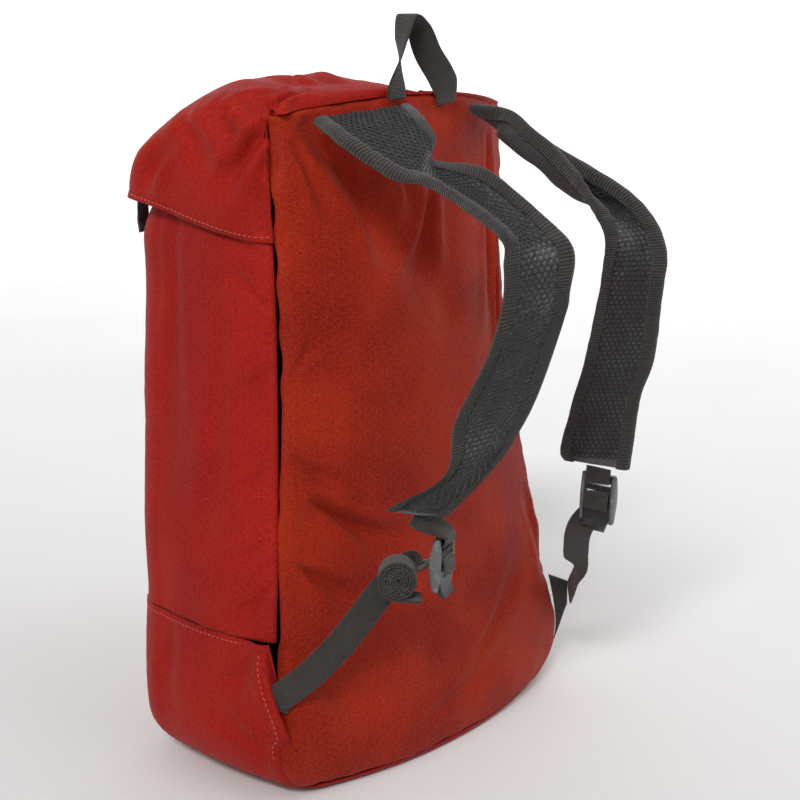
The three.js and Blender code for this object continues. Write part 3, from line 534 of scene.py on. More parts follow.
def moulded_plastic(name, grey):
    made = Shader(name, 0.36, (grey, grey, grey), Specular_IOR_Level=0.5)
    fine = made.noise(0.7, 2.0)
    scuffs = made.noise(5, 4.0, 0.7)
    made.colour(made.blend(made.ramp(scuffs, 0.5, 0.8), (grey, grey, grey * 1.04), (grey * 2.4,) * 3))
    made.rough(made.ramp(scuffs, 0.3, 0.8, 0.26, 0.46))
    made.bump(fine, 0.04)
    return made.material


def stitch_thread():
    made = Shader("stitch_thread", 0.6, (0.5, 0.1, 0.07), Sheen_Weight=0.1)
    made.colour(made.blend(made.noise(1.0, 1.0), (0.42, 0.06, 0.04), (0.6, 0.16, 0.12)))
    return made.material


SIDE_RED = shell_cloth("shell_cloth_side", (0.27, 0.006, 0.004), (0.35, 0.01, 0.004))
# The back cloth's deep tone is darker than the sides': its slow dark patches are painted shade for the
# shade on the back panel under the straps
BACK_RED_WITH_PAINTED_SHADE = shell_cloth("shell_cloth_back_with_painted_shade", (0.22, 0.008, 0.002), (0.35, 0.02, 0.003))
LID_RED = shell_cloth("shell_cloth_lid", (0.27, 0.006, 0.004), (0.35, 0.011, 0.004))
WEBBING = ribbed_tape("webbing_grosgrain", (0.062, 0.054, 0.05), 1.35, 0.22)
BINDING = ribbed_tape("binding_grosgrain", (0.06, 0.053, 0.049), 1.9, 0.35)
NET = mesh_thread()
FOAM = foam_skin()
BLACK = black_cloth()
PLASTIC = moulded_plastic("moulded_plastic", 0.017)
# The rails are the same black plastic coloured lighter grey: painted sheen for the light grey gloss on the
# curved rails
RAIL_PLASTIC_PAINTED_SHEEN = moulded_plastic("moulded_rail_painted_sheen", 0.11)
THREAD = stitch_thread()

# Small folds of the cloth: start and end, depth, half width, and the share that stands up beside it.
# On a wall the places are millimetres from its back corner seam and height. On the lid they are x, y and z,
# and on its left and right sides y and z.
FOLDS = {
    "back": [
        [(30, 462), (98, 388), 10.5, 11, 0.5],
        [(54, 452), (86, 370), 4.4, 6, 0.6],
        [(18, 452), (40, 404), 3.7, 5, 0.6],
        [(104, 440), (122, 396), 4.1, 7, 0.5],
        [(142, 416), (132, 350), 9.5, 11, 0.5],
        [(24, 210), (78, 174), 7.5, 5.5, 0.8],
        [(60, 186), (112, 168), 3.1, 6, 0.6],
        [(16, 166), (52, 138), 5.8, 5, 0.8],
        [(8, 240), (44, 216), 3.4, 5, 0.7],
        [(8, 300), (30, 322), 2.7, 6, 0.6],
        [(252, 410), (258, 240), 8.5, 7, 0.6],
        [(226, 450), (240, 300), 6.1, 10, 0.5],
        [(14, 92), (62, 58), 3.4, 7, 0.6],
        [(180, 60), (262, 112), 3.1, 9, 0.5],
        [(120, 30), (205, 50), 2.7, 8, 0.5],
        [(280, 160), (312, 70), 4.4, 9, 0.5],
    ],
    "left": [
        [(5, 376), (62, 402), 2.9, 7, 0.6],
        [(4, 342), (36, 364), 3.2, 5, 0.6],
        [(4, 300), (26, 284), 2.2, 5, 0.6],
        [(96, 420), (106, 200), 2.9, 12, 0.4],
        [(44, 330), (60, 176), 2.1, 10, 0.4],
        [(4, 232), (34, 214), 2.4, 6, 0.6],
        [(4, 152), (32, 126), 3.5, 5, 0.6],
        [(6, 182), (42, 160), 2.6, 6, 0.6],
    ],
    "right": [
        [(5, 374), (56, 398), 2.8, 7, 0.6],
        [(80, 400), (96, 200), 2.5, 12, 0.4],
        [(5, 170), (44, 132), 2.8, 6, 0.6],
        [(210, 380), (225, 170), 3.4, 14, 0.5],
        [(300, 400), (290, 210), 2.8, 13, 0.5],
        [(250, 140), (330, 160), 2.5, 10, 0.5],
    ],
    "boot": [
        [(10, 104), (46, 74), 3.2, 7, 0.6],
        [(14, 40), (60, 62), 2.9, 8, 0.5],
        [(100, 108), (112, 40), 2.4, 10, 0.4],
    ],
    "lid": [
        [(-125, 18, 488), (-128, -36, 474), 3.8, 4, 0.7],
        [(-116, 34, 492), (-112, -30, 496), 3.2, 5, 0.6],
        [(-98, -40, 490), (-62, 12, 498), 4.3, 6, 0.6],
        [(-60, -40, 492), (-36, 24, 494), 4.1, 7, 0.6],
        [(-20, -40, 486), (6, 20, 484), 3.5, 7, 0.6],
        [(36, -40, 482), (60, 30, 476), 4.1, 9, 0.6],
        [(84, -40, 478), (98, 30, 468), 4.1, 9, 0.6],
        [(-132, 44, 452), (-130, 92, 420), 4.1, 8, 0.6],
        [(-70, 60, 480), (-110, 104, 434), 4.1, 10, 0.5],
        [(10, 60, 478), (-10, 116, 430), 4.1, 11, 0.5],
        [(90, 50, 470), (112, 100, 430), 4.1, 10, 0.5],
        [(134, -20, 462), (134, 30, 430), 4.1, 7, 0.6],
    ],
    "lid_left": [
        [(-40, 494), (-36, 436), 8.5, 3.6, 0.9],
        [(-38, 468), (-6, 424), 8.5, 6.5, 0.8],
        [(-30, 500), (8, 466), 4.5, 5, 0.8],
        [(12, 478), (-16, 450), 5.5, 8, 0.7],
        [(42, 472), (14, 438), 3.8, 9, 0.6],
        [(58, 450), (86, 410), 3.8, 9, 0.6],
    ],
    "lid_right": [
        [(-38, 470), (-8, 428), 6.0, 6, 0.8],
        [(16, 472), (52, 430), 4.2, 9, 0.6],
    ],
}


def fold_relief(panel, places):
    relief = np.zeros(places.shape[:-1])
    for start, end, depth, wide, ridge in FOLDS[panel]:
        a, b = V(*start), V(*end)
        along = b - a
        t = np.clip(((places - a) @ along) / (along @ along), 0, 1)
        wobble = 0.22 * wide * soft_noise(t * 3, t * 0 + depth, 17)
        away = np.abs(np.linalg.norm(places - (a + t[..., None] * along), axis=-1) + wobble)
        spread = wide * (0.6 + 0.9 * t * t)
        valley = np.exp(-((away / spread) ** 2))
        crest = ridge * np.exp(-(((away - 1.7 * spread) / (0.8 * spread)) ** 2))
        relief += depth * np.sin(math.pi * mix(0.06, 0.94, t)) ** 0.8 * (0.6 * crest - valley)
    return relief


def pucker(edge, along, seed, reach=12.0, height=1.0, roll=1.7):
    """Little waves of the cloth beside a seam, edge millimetres from it."""
    waves = soft_noise(along / 13, edge * 0 + seed, seed) + 0.6 * soft_noise(along / 6, edge * 0, seed + 5)
    return height * waves * np.exp(-edge / reach) - roll * np.exp(-((edge / 2.0) ** 2))


def seam_wander(z):
    """How far the left corner seam strays to the right, in millimetres."""
    return 2.4 * soft_noise(z / 60, z * 0, 3) + 1.3 * soft_noise(z / 17, z * 0, 4)


def cloth_piece(name, nodes, material, points, normals, flat, relief, closed=False):
    outer = points + normals * relief[..., None]
    slab_piece(name, nodes, outer, outer - normals * CLOTH, flat, material, "shell_fabric", closed)
    return outer


# The left corner seam stands open at its foot: the boot's edge lifts off and laps over the webbing.
OPEN_CORNER = [
    # height, slide to the right, lift off the corner
    [40, 0, 0],
    [45, 1, 1.5],
    [51, 6.5, 5],
    [56, 6.5, 7],
    [70, 1.5, 9],
    [84, -3, 10],
    [99, -6, 6.5],
    [108, -6.5, 3.5],
    [115, -5, 3],
    [120, 0, 0],
]
OPEN_REACH = 15
FAR_FROM_SEAM = 400
VIEW_RIGHT = V(0.64, -0.77, 0)

# Back panel
BACK_SHORT = SEAM_GAP / TOP_WIDTH
SIDE_SHORT = SEAM_GAP / BAG_DEPTH


def back_panel():
    at = np.linspace(0, 1, BACK_COLUMNS)
    at = mix(BACK_SHORT, 1 - BACK_SHORT, 0.7 * at + 0.3 * (0.5 - 0.5 * np.cos(math.pi * at)))[:, None]
    share = np.linspace(0, 1, BACK_ROWS)[None, :]
    height = mix(BACK_HEM_HEIGHT / BAG_HEIGHT, top_seam(at) - SEAM_GAP / BAG_HEIGHT, share)
    z = height * BAG_HEIGHT
    width = TOP_WIDTH + 60 * (1 - height)
    stray = seam_wander(z) * np.exp(-at * width / 30)
    points, normals = outline("back", at + stray / width, height)
    u = np.broadcast_to(at * width, z.shape)
    left, right = u, width - u
    relief = pucker(left, z, 11, 14, 0.9) + pucker(right, z, 12, 14, 0.9)
    relief += pucker(z - BACK_HEM_HEIGHT, u, 13, 10, 0.9)
    relief += pucker((1 - share) * (z[:, -1:] - BACK_HEM_HEIGHT), u, 14, 12, 0.9)
    relief += 1.1 * folds_noise(u / 62, z / 85, 21, 2) + 0.35 * folds_noise(u / 22, z / 30, 22)
    relief += fold_relief("back", np.stack([u, z], -1))
    relief -= 6 * smooth(z, 424, 442) * (1 - smooth(z, 464, 471)) * np.exp(-((left / 7) ** 2))
    relief -= 7 * smooth(z, 44, 62) * (1 - smooth(z, 106, 122)) * np.exp(-((left / 8) ** 2))
    cloth_piece("back_panel_cloth", ["back_panel"], BACK_RED_WITH_PAINTED_SHADE, points, normals, flat_of(u, z), relief)


def ring_stretches(side_count, front_count):
    """The wrap's stretches, right side, front and left side: name, places along it."""
    side = np.linspace(SIDE_SHORT, 1, side_count)
    front = np.linspace(0, 1, front_count)[1:-1]
    return [("right", side), ("front", front), ("left", side[::-1])]


def ring_outline(stretches, height_of, proud_of):
    points, normals = [], []
    for on, at in stretches:
        at = at[:, None]
        height = height_of(at)
        point, normal = outline(on, at, height, proud_of(on, at, height))
        points.append(point)
        normals.append(normal)
    points, normals = np.concatenate(points), np.concatenate(normals)
    return points, normals, run_of(points[:, -1])[:, None] + 0 * points[..., 2]


def side_and_front_wrap():
    low, high = (BOOT_HEIGHT + SEAM_GAP) / BAG_HEIGHT, 1 - MOUTH_DROP / BAG_HEIGHT

    def height_of(at):
        return np.linspace(low, high, WRAP_ROWS)[None, :] + 0 * at

    def proud_of(on, at, height):
        frontness = 1.0 if on == "front" else smooth(at, 0.1, 0.7)
        return -MOUTH_DRAW * frontness * smooth(height, 0.8, 0.94)

    stretches = ring_stretches(WRAP_COLUMNS, WRAP_COLUMNS)
    points, normals, from_right = ring_outline(stretches, height_of, proud_of)
    z = points[..., 2]
    from_left = from_right[-1, 0] - from_right
    relief = pucker(from_right, z, 31, 14, 0.8) + pucker(from_left, z, 32, 14, 0.8)
    relief += pucker(z - BOOT_HEIGHT, from_right, 33, 9, 0.7, 0.4)
    relief += 1.0 * folds_noise(from_right / 70, z / 60, 34, 2)
    relief += 0.3 * folds_noise(from_right / 24, z / 20, 35)
    relief += fold_relief("right", np.stack([from_right, z], -1))
    relief += fold_relief("left", np.stack([from_left, z], -1))
    nodes = ["side_and_front_wrap"]
    cloth_piece("side_and_front_cloth", nodes, SIDE_RED, points, normals, flat_of(from_right, z), relief)


def boot_heights(on_back):
    """Heights of the boot's rows, from its rim down the wall and round under the bag."""
    rim = BACK_HEM_HEIGHT - SEAM_GAP if on_back else BOOT_HEIGHT
    first = math.asin(1 - rim / BASE_RADIUS) if on_back else 0
    wall = mix(rim, BASE_RADIUS, np.arange(BOOT_WALL_ROWS) / BOOT_WALL_ROWS)
    turns = BOOT_WALL_ROWS + BOOT_ROUND_ROWS if on_back else BOOT_ROUND_ROWS
    steps = mix(first, math.pi / 2, np.arange(turns + 1) / turns)
    return np.array(([] if on_back else list(wall)) + list(BASE_RADIUS * (1 - np.sin(steps))))


def boot():
    columns = []
    back = np.linspace(BACK_SHORT / 2, 1 - BACK_SHORT / 2, BOOT_BACK_COLUMNS)
    for on, at in [("back", back)] + ring_stretches(RING_SIDE_COLUMNS, RING_FRONT_COLUMNS):
        heights = boot_heights(on == "back")[None, :] / BAG_HEIGHT
        columns.append(outline(on, at[:, None], heights))
    points = np.concatenate([c[0] for c in columns])
    normals = np.concatenate([c[1] for c in columns])
    share = (np.arange(1, BOOT_FLOOR_ROWS + 1) / BOOT_FLOOR_ROWS)[None, :, None]
    floor = points[:, -1:] * (1 - share)
    u = run_of(points[:, 0])[:, None] + 0 * points[..., 2]
    z = points[..., 2]
    wall = smooth(z, 4, 26)
    relief = wall * (0.8 * folds_noise(u / 60, z / 45, 41, 2) + 0.3 * folds_noise(u / 20, z / 16, 42))
    on_sides = (np.arange(len(u)) >= BOOT_BACK_COLUMNS)[:, None]
    from_corner = np.where(on_sides, np.minimum(u - u[BOOT_BACK_COLUMNS], u[-1] - u), FAR_FROM_SEAM)
    from_left = np.where(on_sides, u[-1] - u, FAR_FROM_SEAM)
    relief = relief + on_sides * wall * pucker(from_corner, z, 43, 14, 0.9)
    relief = relief + np.where(on_sides, pucker(BOOT_HEIGHT - z, u, 44, 8, 0.6, 0.3), 0)
    relief = relief + wall * fold_relief("boot", np.stack([from_left, z], -1))
    slide, lift = table_at(OPEN_CORNER, z)
    near_left = np.exp(-((from_left / OPEN_REACH) ** 2))
    relief = relief + lift * near_left
    points = points + VIEW_RIGHT * (slide * near_left)[..., None]
    points = np.concatenate([points, floor], 1)
    normals = np.concatenate([normals, np.broadcast_to(V(0, 0, -1), floor.shape)], 1)
    relief = np.concatenate([relief, np.zeros(floor.shape[:2])], 1)
    across = np.concatenate([u, u[:, -1:] + 0 * floor[..., 0]], 1)
    run = run_down(points)
    nodes = ["boot", "base_panel"]
    flat = flat_of(across, run)
    outer = cloth_piece("boot_cloth", nodes, SIDE_RED, points, normals, flat, relief, closed=True)
    beside_edge = -3
    line, out = outer[beside_edge], grid_normals(outer, closed=True)[beside_edge]
    out *= np.sign(np.sum(out * normals[beside_edge], -1, keepdims=True))
    free = (line[:, 2] > 34) & (line[:, 2] < 112) & (run[beside_edge] < 100)
    stitches("open_corner_stitches", line[free], out[free])


# Lid flap
LID_CROWN = [
    # across, crown
    [0.0, 0.85],
    [0.2, 1.02],
    [0.4, 0.92],
    [0.5, 0.5],
    [0.62, 0.15],
    [0.8, -0.15],
    [1.0, -0.5],
]
LID_LOBES = [
    # x, y, size x, size y, height
    [-0.36, -0.16, 0.1, 0.2, 0.2],
    [-0.27, -0.3, 0.05, 0.16, -0.3],
    [-0.12, -0.22, 0.1, 0.18, 0.16],
    [-0.34, 0.22, 0.18, 0.26, 0.34],
    [0.08, 0.1, 0.07, 0.4, -0.12],
    [0.3, 0.0, 0.12, 0.25, 0.12],
]
LID_SHOULDER = 0.865


def lid_height(x, y):
    (crown,) = table_at(LID_CROWN, np.clip(x / TOP_WIDTH + 0.5, 0, 1))
    z = BAG_HEIGHT + FLAP_RISE * crown
    for lx, ly, sx, sy, high in LID_LOBES:
        u = (x / TOP_WIDTH - lx) / sx
        v = ((y - BACK_LEAN) / BAG_DEPTH - ly) / sy
        z = z + FLAP_RISE * high * np.exp(-u * u - v * v)
    return z


def lid_hem(on, at):
    """How far the lid's hem hangs below the top corners, and how near the front a place is, from 0 to 1."""
    side = np.ones_like(at) if on == "front" else at
    return mix(FLAP_HEM_BACK, FLAP_HEM_FRONT, smooth(side, 0, 0.85)), smooth(side, 0.3, 0.95)


def lid_column(on, at):
    """The lid's points and outward directions from hem to crown, along one stretch of its edge."""
    at = at[:, None]
    t = np.linspace(0, 1, LID_SKIRT_ROWS)[None, :]
    if on == "back":
        low = top_seam(at) + SEAM_GAP / BAG_HEIGHT
        frontness, proud = 0 * at, 0
        shoulder = low + 1.5 / BAG_HEIGHT
    else:
        drop, frontness = lid_hem(on, at)
        low = 1 - drop / BAG_HEIGHT
        shoulder = mix(0.985, LID_SHOULDER, frontness)
        proud = CLOTH + FLAP_LAP + FLAP_OVERHANG * frontness * (1 - 0.5 * t)
    height = mix(low, shoulder, t)
    point, normal = outline(on, at, np.minimum(height, 1), proud)
    point[..., 2] = height * BAG_HEIGHT
    start, first = point[:, -1:], normal[:, -1:]
    inward = ((np.arange(1, LID_DOME_ROWS + 1) / LID_DOME_ROWS) ** 1.6)[None, :]
    dome = start * (1 - inward[..., None]) + V(0, BACK_LEAN, 0) * inward[..., None]
    rise = inward ** mix(0.3, 0.46, frontness)
    dome[..., 2] = mix(start[..., 2], lid_height(dome[..., 0], dome[..., 1]), rise)
    facing = unit(first * (1 - rise[..., None]) + V(0, 0, 1) * rise[..., None])
    return np.concatenate([point, dome], 1), np.concatenate([normal, facing], 1)


def lid_flap():
    stretches = [("back", np.linspace(0, 1, LID_BACK_COLUMNS))]
    stretches += ring_stretches(RING_SIDE_COLUMNS, RING_FRONT_COLUMNS)
    columns = [lid_column(on, at) for on, at in stretches]
    points, normals = (np.concatenate(part) for part in zip(*columns))
    true_normals = grid_normals(points, closed=True)
    true_normals *= np.sign(np.sum(true_normals * normals, -1, keepdims=True) + 1e-9)
    normals = unit(normals + true_normals)
    x, y, z = points[..., 0], points[..., 1], points[..., 2]
    u = run_of(points[:, LID_SKIRT_ROWS])[:, None] + 0 * z
    middle = smooth(np.linspace(1, 0, LID_SKIRT_ROWS + LID_DOME_ROWS), 0, 0.25)[None, :]
    relief = middle * (1.0 * folds_noise(x / 48, (y + z) / 60, 51, 2))
    relief = relief + 0.3 * middle * folds_noise(x / 18, (y + z) / 20, 52)
    has_hem = np.arange(len(u))[:, None] >= LID_BACK_COLUMNS
    relief = relief + np.where(has_hem, pucker(run_down(points), u, 53, 8, 0.6, 0.3), 0)
    relief = relief + fold_relief("lid", points)
    for side, hand in (("lid_left", -1), ("lid_right", 1)):
        relief = relief + smooth(hand * x, 92, 116) * fold_relief(side, points[..., 1:])
    flat = flat_of(0.85 * (x + y), 0.85 * (z + (y - x) / 2))
    cloth_piece("lid_cloth", ["lid_flap"], LID_RED, points, normals, flat, relief, closed=True)


# Stitches
STITCH_LENGTH = 2.7
STITCH_GAP = 1.5
STITCH_RADIUS = 0.3
STITCH_SIDES = 6
HEM_RISE = 3.4
STITCH_SHAPE = [
    # place along the stitch, thickness
    [0, 0.35],
    [0.18, 1],
    [0.5, 1.15],
    [0.82, 1],
    [1, 0.35],
]


def stitches(name, line, normals):
    """Short threads laid along a line of points, half sunk in the cloth."""
    run = run_of(line)
    turns = [2 * math.pi * k / STITCH_SIDES for k in range(STITCH_SIDES)]
    points, faces = [], []
    for start in np.arange(STITCH_GAP, run[-1] - STITCH_LENGTH, STITCH_LENGTH + STITCH_GAP):
        rings = []
        for share, fat in STITCH_SHAPE:
            at = start + share * STITCH_LENGTH
            centre = line_at(line, run, at)
            out = unit(line_at(normals, run, at))
            across = np.cross(out, unit(line_at(line, run, at + 0.5) - centre))
            radius = STITCH_RADIUS * fat
            rings.append([centre + radius * (math.cos(a) * across + math.sin(a) * out) for a in turns])
        rod(points, faces, rings)
    make_mesh(name, points, faces, THREAD)


def hem_stitches():
    boot_lines, lid_lines = [], []
    for on, at in ring_stretches(HEM_COLUMNS, HEM_COLUMNS):
        drop, frontness = lid_hem(on, at)
        proud = CLOTH + FLAP_LAP + FLAP_OVERHANG * frontness + STITCH_RADIUS
        boot_lines.append(outline(on, at, (BOOT_HEIGHT - HEM_RISE) / BAG_HEIGHT, 0.35))
        lid_lines.append(outline(on, at, 1 - (drop - HEM_RISE) / BAG_HEIGHT, proud))
    clear_of_corners = slice(5, -5)
    line, out = (np.concatenate(part)[clear_of_corners] for part in zip(*boot_lines))
    stitches("boot_hem_stitches", line, out)
    line, out = (np.concatenate(part) for part in zip(*lid_lines))
    stitches("lid_hem_stitches", line, out)


# Shoulder straps
LEFT_STRAP = [
    # side, reach, height of the left edge, the same of the right edge, fold
    [-0.79, 0.09, 0.993, -0.145, 0.165, 1.008, 0],
    [-0.8, 0.23, 0.964, -0.3, 0.32, 0.994, 0],
    [-0.74, 0.44, 0.921, -0.33, 0.4, 0.968, 0],
    [-0.725, 0.59, 0.917, -0.41, 0.44, 0.934, -0.6],
    [-0.725, 0.78, 0.885, -0.46, 0.7, 0.933, -0.8],
    [-0.725, 0.935, 0.851, -0.42, 0.93, 0.875, -0.5],
    [-0.7, 0.925, 0.815, -0.48, 1.1, 0.836, -0.3],
    [-0.69, 0.92, 0.766, -0.48, 1.09, 0.777, -0.2],
    [-0.69, 0.856, 0.688, -0.5, 1.08, 0.741, 0],
    [-0.725, 0.728, 0.588, -0.535, 0.98, 0.624, 0],
    [-0.74, 0.69, 0.51, -0.58, 0.88, 0.552, 0.4],
    [-0.81, 0.45, 0.446, -0.7, 0.69, 0.452, 0.5],
]
RIGHT_STRAP = [
    [0.4, 0.156, 1.006, 0.72, 0.115, 0.997, -0.55],
    [0.5, 0.3, 1.0, 0.58, 0.256, 0.998, -1],
    [0.52, 0.41, 0.972, 0.595, 0.36, 0.968, -1],
    [0.535, 0.53, 0.94, 0.626, 0.48, 0.943, -1],
    [0.51, 0.65, 0.895, 0.64, 0.62, 0.918, -1.25],
    [0.505, 0.72, 0.854, 0.626, 0.84, 0.877, -0.9],
    [0.52, 0.765, 0.817, 0.595, 0.97, 0.834, -0.4],
    [0.535, 0.76, 0.777, 0.557, 1.03, 0.79, 0],
    [0.54, 0.74, 0.73, 0.542, 1.02, 0.741, 0],
    [0.535, 0.68, 0.618, 0.603, 0.97, 0.635, 0],
    [0.557, 0.617, 0.552, 0.603, 0.91, 0.569, 0],
    [0.573, 0.556, 0.473, 0.611, 0.88, 0.49, 0],
    [0.588, 0.565, 0.452, 0.626, 0.86, 0.452, 0],
]
TOP_SEAM_Y = -BAG_DEPTH / 2 + BACK_LEAN
STRAP_STATIONS = 300
STRAP_COLUMNS = 53


def strap_place(side, reach, height):
    return V(side * TOP_WIDTH / 2, TOP_SEAM_Y - reach * STRAP_REACH, height * BAG_HEIGHT)


class Strap:
    """The surface of a strap: places across (0 to 1) and along it, on either face."""

    def __init__(self, rows):
        timed = [[i / (len(rows) - 1), *row] for i, row in enumerate(rows)]
        values = np.array([read_table(timed, t) for t in np.linspace(0, 1, STRAP_STATIONS)])
        left = np.array([strap_place(*v[:3]) for v in values])
        right = np.array([strap_place(*v[3:6]) for v in values])
        fold = values[:, 6:7]
        down = unit(np.gradient(left + right, axis=0))
        across = right - left
        chord = np.linalg.norm(across, axis=1, keepdims=True)
        face = unit(np.cross(down, across))
        spare = np.sqrt(np.maximum((STRAP_WIDTH / 2) ** 2 - (chord / 2) ** 2, 0))
        crest = (left + right) / 2 + face * spare * fold
        self.left, self.right = left, right
        self.span = (np.linalg.norm(left - crest, axis=1) + np.linalg.norm(crest - right, axis=1))[:, None]
        k = np.linspace(0, 1, STRAP_COLUMNS)[None, :, None]
        near = np.where(k < 0.5, left[:, None], right[:, None])
        share = np.where(k < 0.5, 2 * k, 2 - 2 * k)
        straight = near + (crest[:, None] - near) * share
        plain = left[:, None] + across[:, None] * k
        self.grid = mix(straight, plain, 0.25 * smooth(share, 0.5, 1))
        half = np.where(k < 0.5, (crest - left)[:, None], (right - crest)[:, None])
        tilted = unit(np.cross(down[:, None] + 0 * half, half))
        self.out = unit(mix(tilted, face[:, None], smooth(share, 0.6, 1)))
        middle = self.grid[:, STRAP_COLUMNS // 2]
        mean = (left + right) / 2
        self.run = run_of(0.5 * (middle + mean))
        self.length = self.run[-1]
        self.soften()

    def soften(self):
        """Evens out the surface along and across, so that folds are round."""
        for values in (self.grid, self.out):
            for _ in range(6):
                values[1:-1] = (values[:-2] + 2 * values[1:-1] + values[2:]) / 4
        for _ in range(5):
            self.grid[:, 1:-1] = (self.grid[:, :-2] + 2 * self.grid[:, 1:-1] + self.grid[:, 2:]) / 4
            self.out[:, 1:-1] = (self.out[:, :-2] + 2 * self.out[:, 1:-1] + self.out[:, 2:]) / 4
        self.out = unit(self.out)

    def place(self, across, along, lift):
        """Points that many millimetres across from the left edge, along the strap and off its middle."""
        across, along, lift = np.broadcast_arrays(*(np.asarray(v, float) for v in (across, along, lift)))
        station = np.interp(along, self.run, np.arange(STRAP_STATIONS))
        column = np.clip(across / self.span_at(along), 0, 1) * (STRAP_COLUMNS - 1)
        i = np.clip(station.astype(int), 0, STRAP_STATIONS - 2)
        j = np.clip(column.astype(int), 0, STRAP_COLUMNS - 2)
        s, c = (station - i)[..., None], (column - j)[..., None]

        def read(values):
            low = mix(values[i, j], values[i, j + 1], c)
            high = mix(values[i + 1, j], values[i + 1, j + 1], c)
            return mix(low, high, s)

        return read(self.grid) + unit(read(self.out)) * lift[..., None]

    def span_at(self, along):
        return np.interp(along, self.run, self.span[:, 0])


PAD_MARGIN = 3.0
PAD_FULL_FROM = 13
TAPE_WIDTH = 9.5
NET_PITCH = 4.3
NET_ROW = 3.5
NET_HOLE = 0.6
NET_CELL = [(0, 2 / 3), (0.5, 1 / 3), (0.5, -1 / 3), (0, -2 / 3), (-0.5, -1 / 3), (-0.5, 1 / 3)]


def strap_pad(side, strap):
    along = np.linspace(0.5, strap.length - 0.5, PAD_ROWS)[:, None]
    span = strap.span_at(along)
    across = mix(PAD_MARGIN, span - PAD_MARGIN, np.linspace(0, 1, PAD_COLUMNS)[None, :])
    full = smooth(np.minimum(across, span - across), PAD_MARGIN, PAD_FULL_FROM)
    wrinkle = 0.35 * folds_noise(across / 12, along / 14, 61) * full
    back_wrinkle = 0.4 * folds_noise(across / 14, along / 18, 62) * full
    front = strap.place(across, along, mix(1.2, 2.2, full) + wrinkle)
    behind = strap.place(across, along, -mix(1.2, 2.7, full) + back_wrinkle)
    flat = flat_of(across + 0 * along, along + 0 * across)
    name, nodes = f"{side}_strap_foam", [f"{side}_strap_pad"]
    pad = slab_piece(name, nodes, front, behind, flat, FOAM, "strap_mesh")
    pad.data.materials.append(BLACK)
    slots = np.ones(len(pad.data.polygons), int)
    slots[: (PAD_ROWS - 1) * (PAD_COLUMNS - 1)] = 0
    pad.data.polygons.foreach_set("material_index", slots)


def strap_net(side, strap):
    """Spacer mesh: a net with a hole in each cell of a honeycomb."""
    faces, flat = [], []
    known = {}
    rows = int(strap.length / NET_ROW)
    margin = TAPE_WIDTH - 3

    def corner(a, l):
        key = (round(a * 50), round(l * 50))
        if key not in known:
            known[key] = len(flat)
            flat.append((a, l))
        return known[key]

    for row in range(1, rows):
        l = row * NET_ROW
        span = float(strap.span_at(l))
        offset = NET_PITCH / 2 if row % 2 else 0
        reach = int(span / 2 / NET_PITCH) + 1
        for step in range(-reach, reach + 1):
            a = STRAP_WIDTH / 2 + offset + step * NET_PITCH
            if a < margin or a > span - margin or l > strap.length - 6:
                continue
            ring = [corner(a + x * NET_PITCH, l + y * NET_ROW) for x, y in NET_CELL]
            wide, high = NET_HOLE * NET_PITCH, NET_HOLE * NET_ROW * 1.1
            hole = [corner(a + x * wide, l + y * high) for x, y in NET_CELL]
            for k in range(6):
                n = (k + 1) % 6
                faces.append((ring[k], ring[n], hole[n], hole[k]))
    flat = np.array(flat)
    wrinkle = 0.35 * folds_noise(flat[:, 0] / 12, flat[:, 1] / 14, 61)
    edge = np.minimum(flat[:, 0], strap.span_at(flat[:, 1]) - flat[:, 0])
    lift = mix(2.0, 3.0, smooth(edge, PAD_MARGIN, PAD_FULL_FROM)) + wrinkle
    points = strap.place(flat[:, 0], flat[:, 1], lift)
    flat = np.column_stack([flat, np.zeros(len(flat))])
    net = make_mesh(f"{side}_strap_net", points, faces, NET, flat)
    thick = net.modifiers.new("thick", "SOLIDIFY")
    thick.thickness = 0.7 * MM
    thick.offset = 0
    apply_modifiers(net)


def apply_modifiers(piece):
    bpy.context.view_layer.update()
    graph = bpy.context.evaluated_depsgraph_get()
    made = bpy.data.meshes.new_from_object(piece.evaluated_get(graph))
    old = piece.data
    piece.modifiers.clear()
    piece.data = made
    bpy.data.meshes.remove(old)


TAPE_SECTION = [
    # from the strap's edge, lift
    [TAPE_WIDTH, 3.5],
    [TAPE_WIDTH - 2, 3.75],
    [5.0, 3.7],
    [2.4, 3.5],
    [0.8, 2.9],
    [-0.1, 1.6],
    [-0.35, 0.0],
    [-0.1, -1.6],
    [0.8, -2.9],
    [2.4, -3.4],
    [5.0, -3.5],
    [TAPE_WIDTH - 2, -3.5],
    [TAPE_WIDTH, -3.3],
]


def strap_tape(name, node, strap, on_left):
    """Tape folded over a strap's long edge, a little crumpled."""
    along = np.linspace(0, strap.length, TAPE_ROWS)
    section = np.array(TAPE_SECTION)
    width = section[:, 0][None, :] + 0.5 * soft_noise(along / 16, along * 0, 71)[:, None]
    crumple = 0.45 * folds_noise(along / 9, along * 0, 72)[:, None]
    shells = []
    for inset in (0.0, 0.9):
        lift = section[:, 1][None, :] * (1 - inset * 0.22) + crumple
        edge = width + inset * (section[:, 0] < 2)[None, :] * 0.9
        across = np.clip(edge, 0.0, None)
        if not on_left:
            across = strap.span_at(along)[:, None] - across
        shells.append(strap.place(across, along[:, None], lift))
    outward = unit(strap.left - strap.right) if on_left else unit(strap.right - strap.left)
    beyond = np.minimum(section[:, 0], 0)[None, :, None]
    shells[0] = shells[0] - line_at(outward, strap.run, along)[:, None] * beyond * 2
    section_run = run_of(section)[None, :]
    flat = flat_of(section_run + 0 * along[:, None], along[:, None] + 0 * section_run)
    slab_piece(name, [node], *shells, flat, BINDING, "grosgrain")


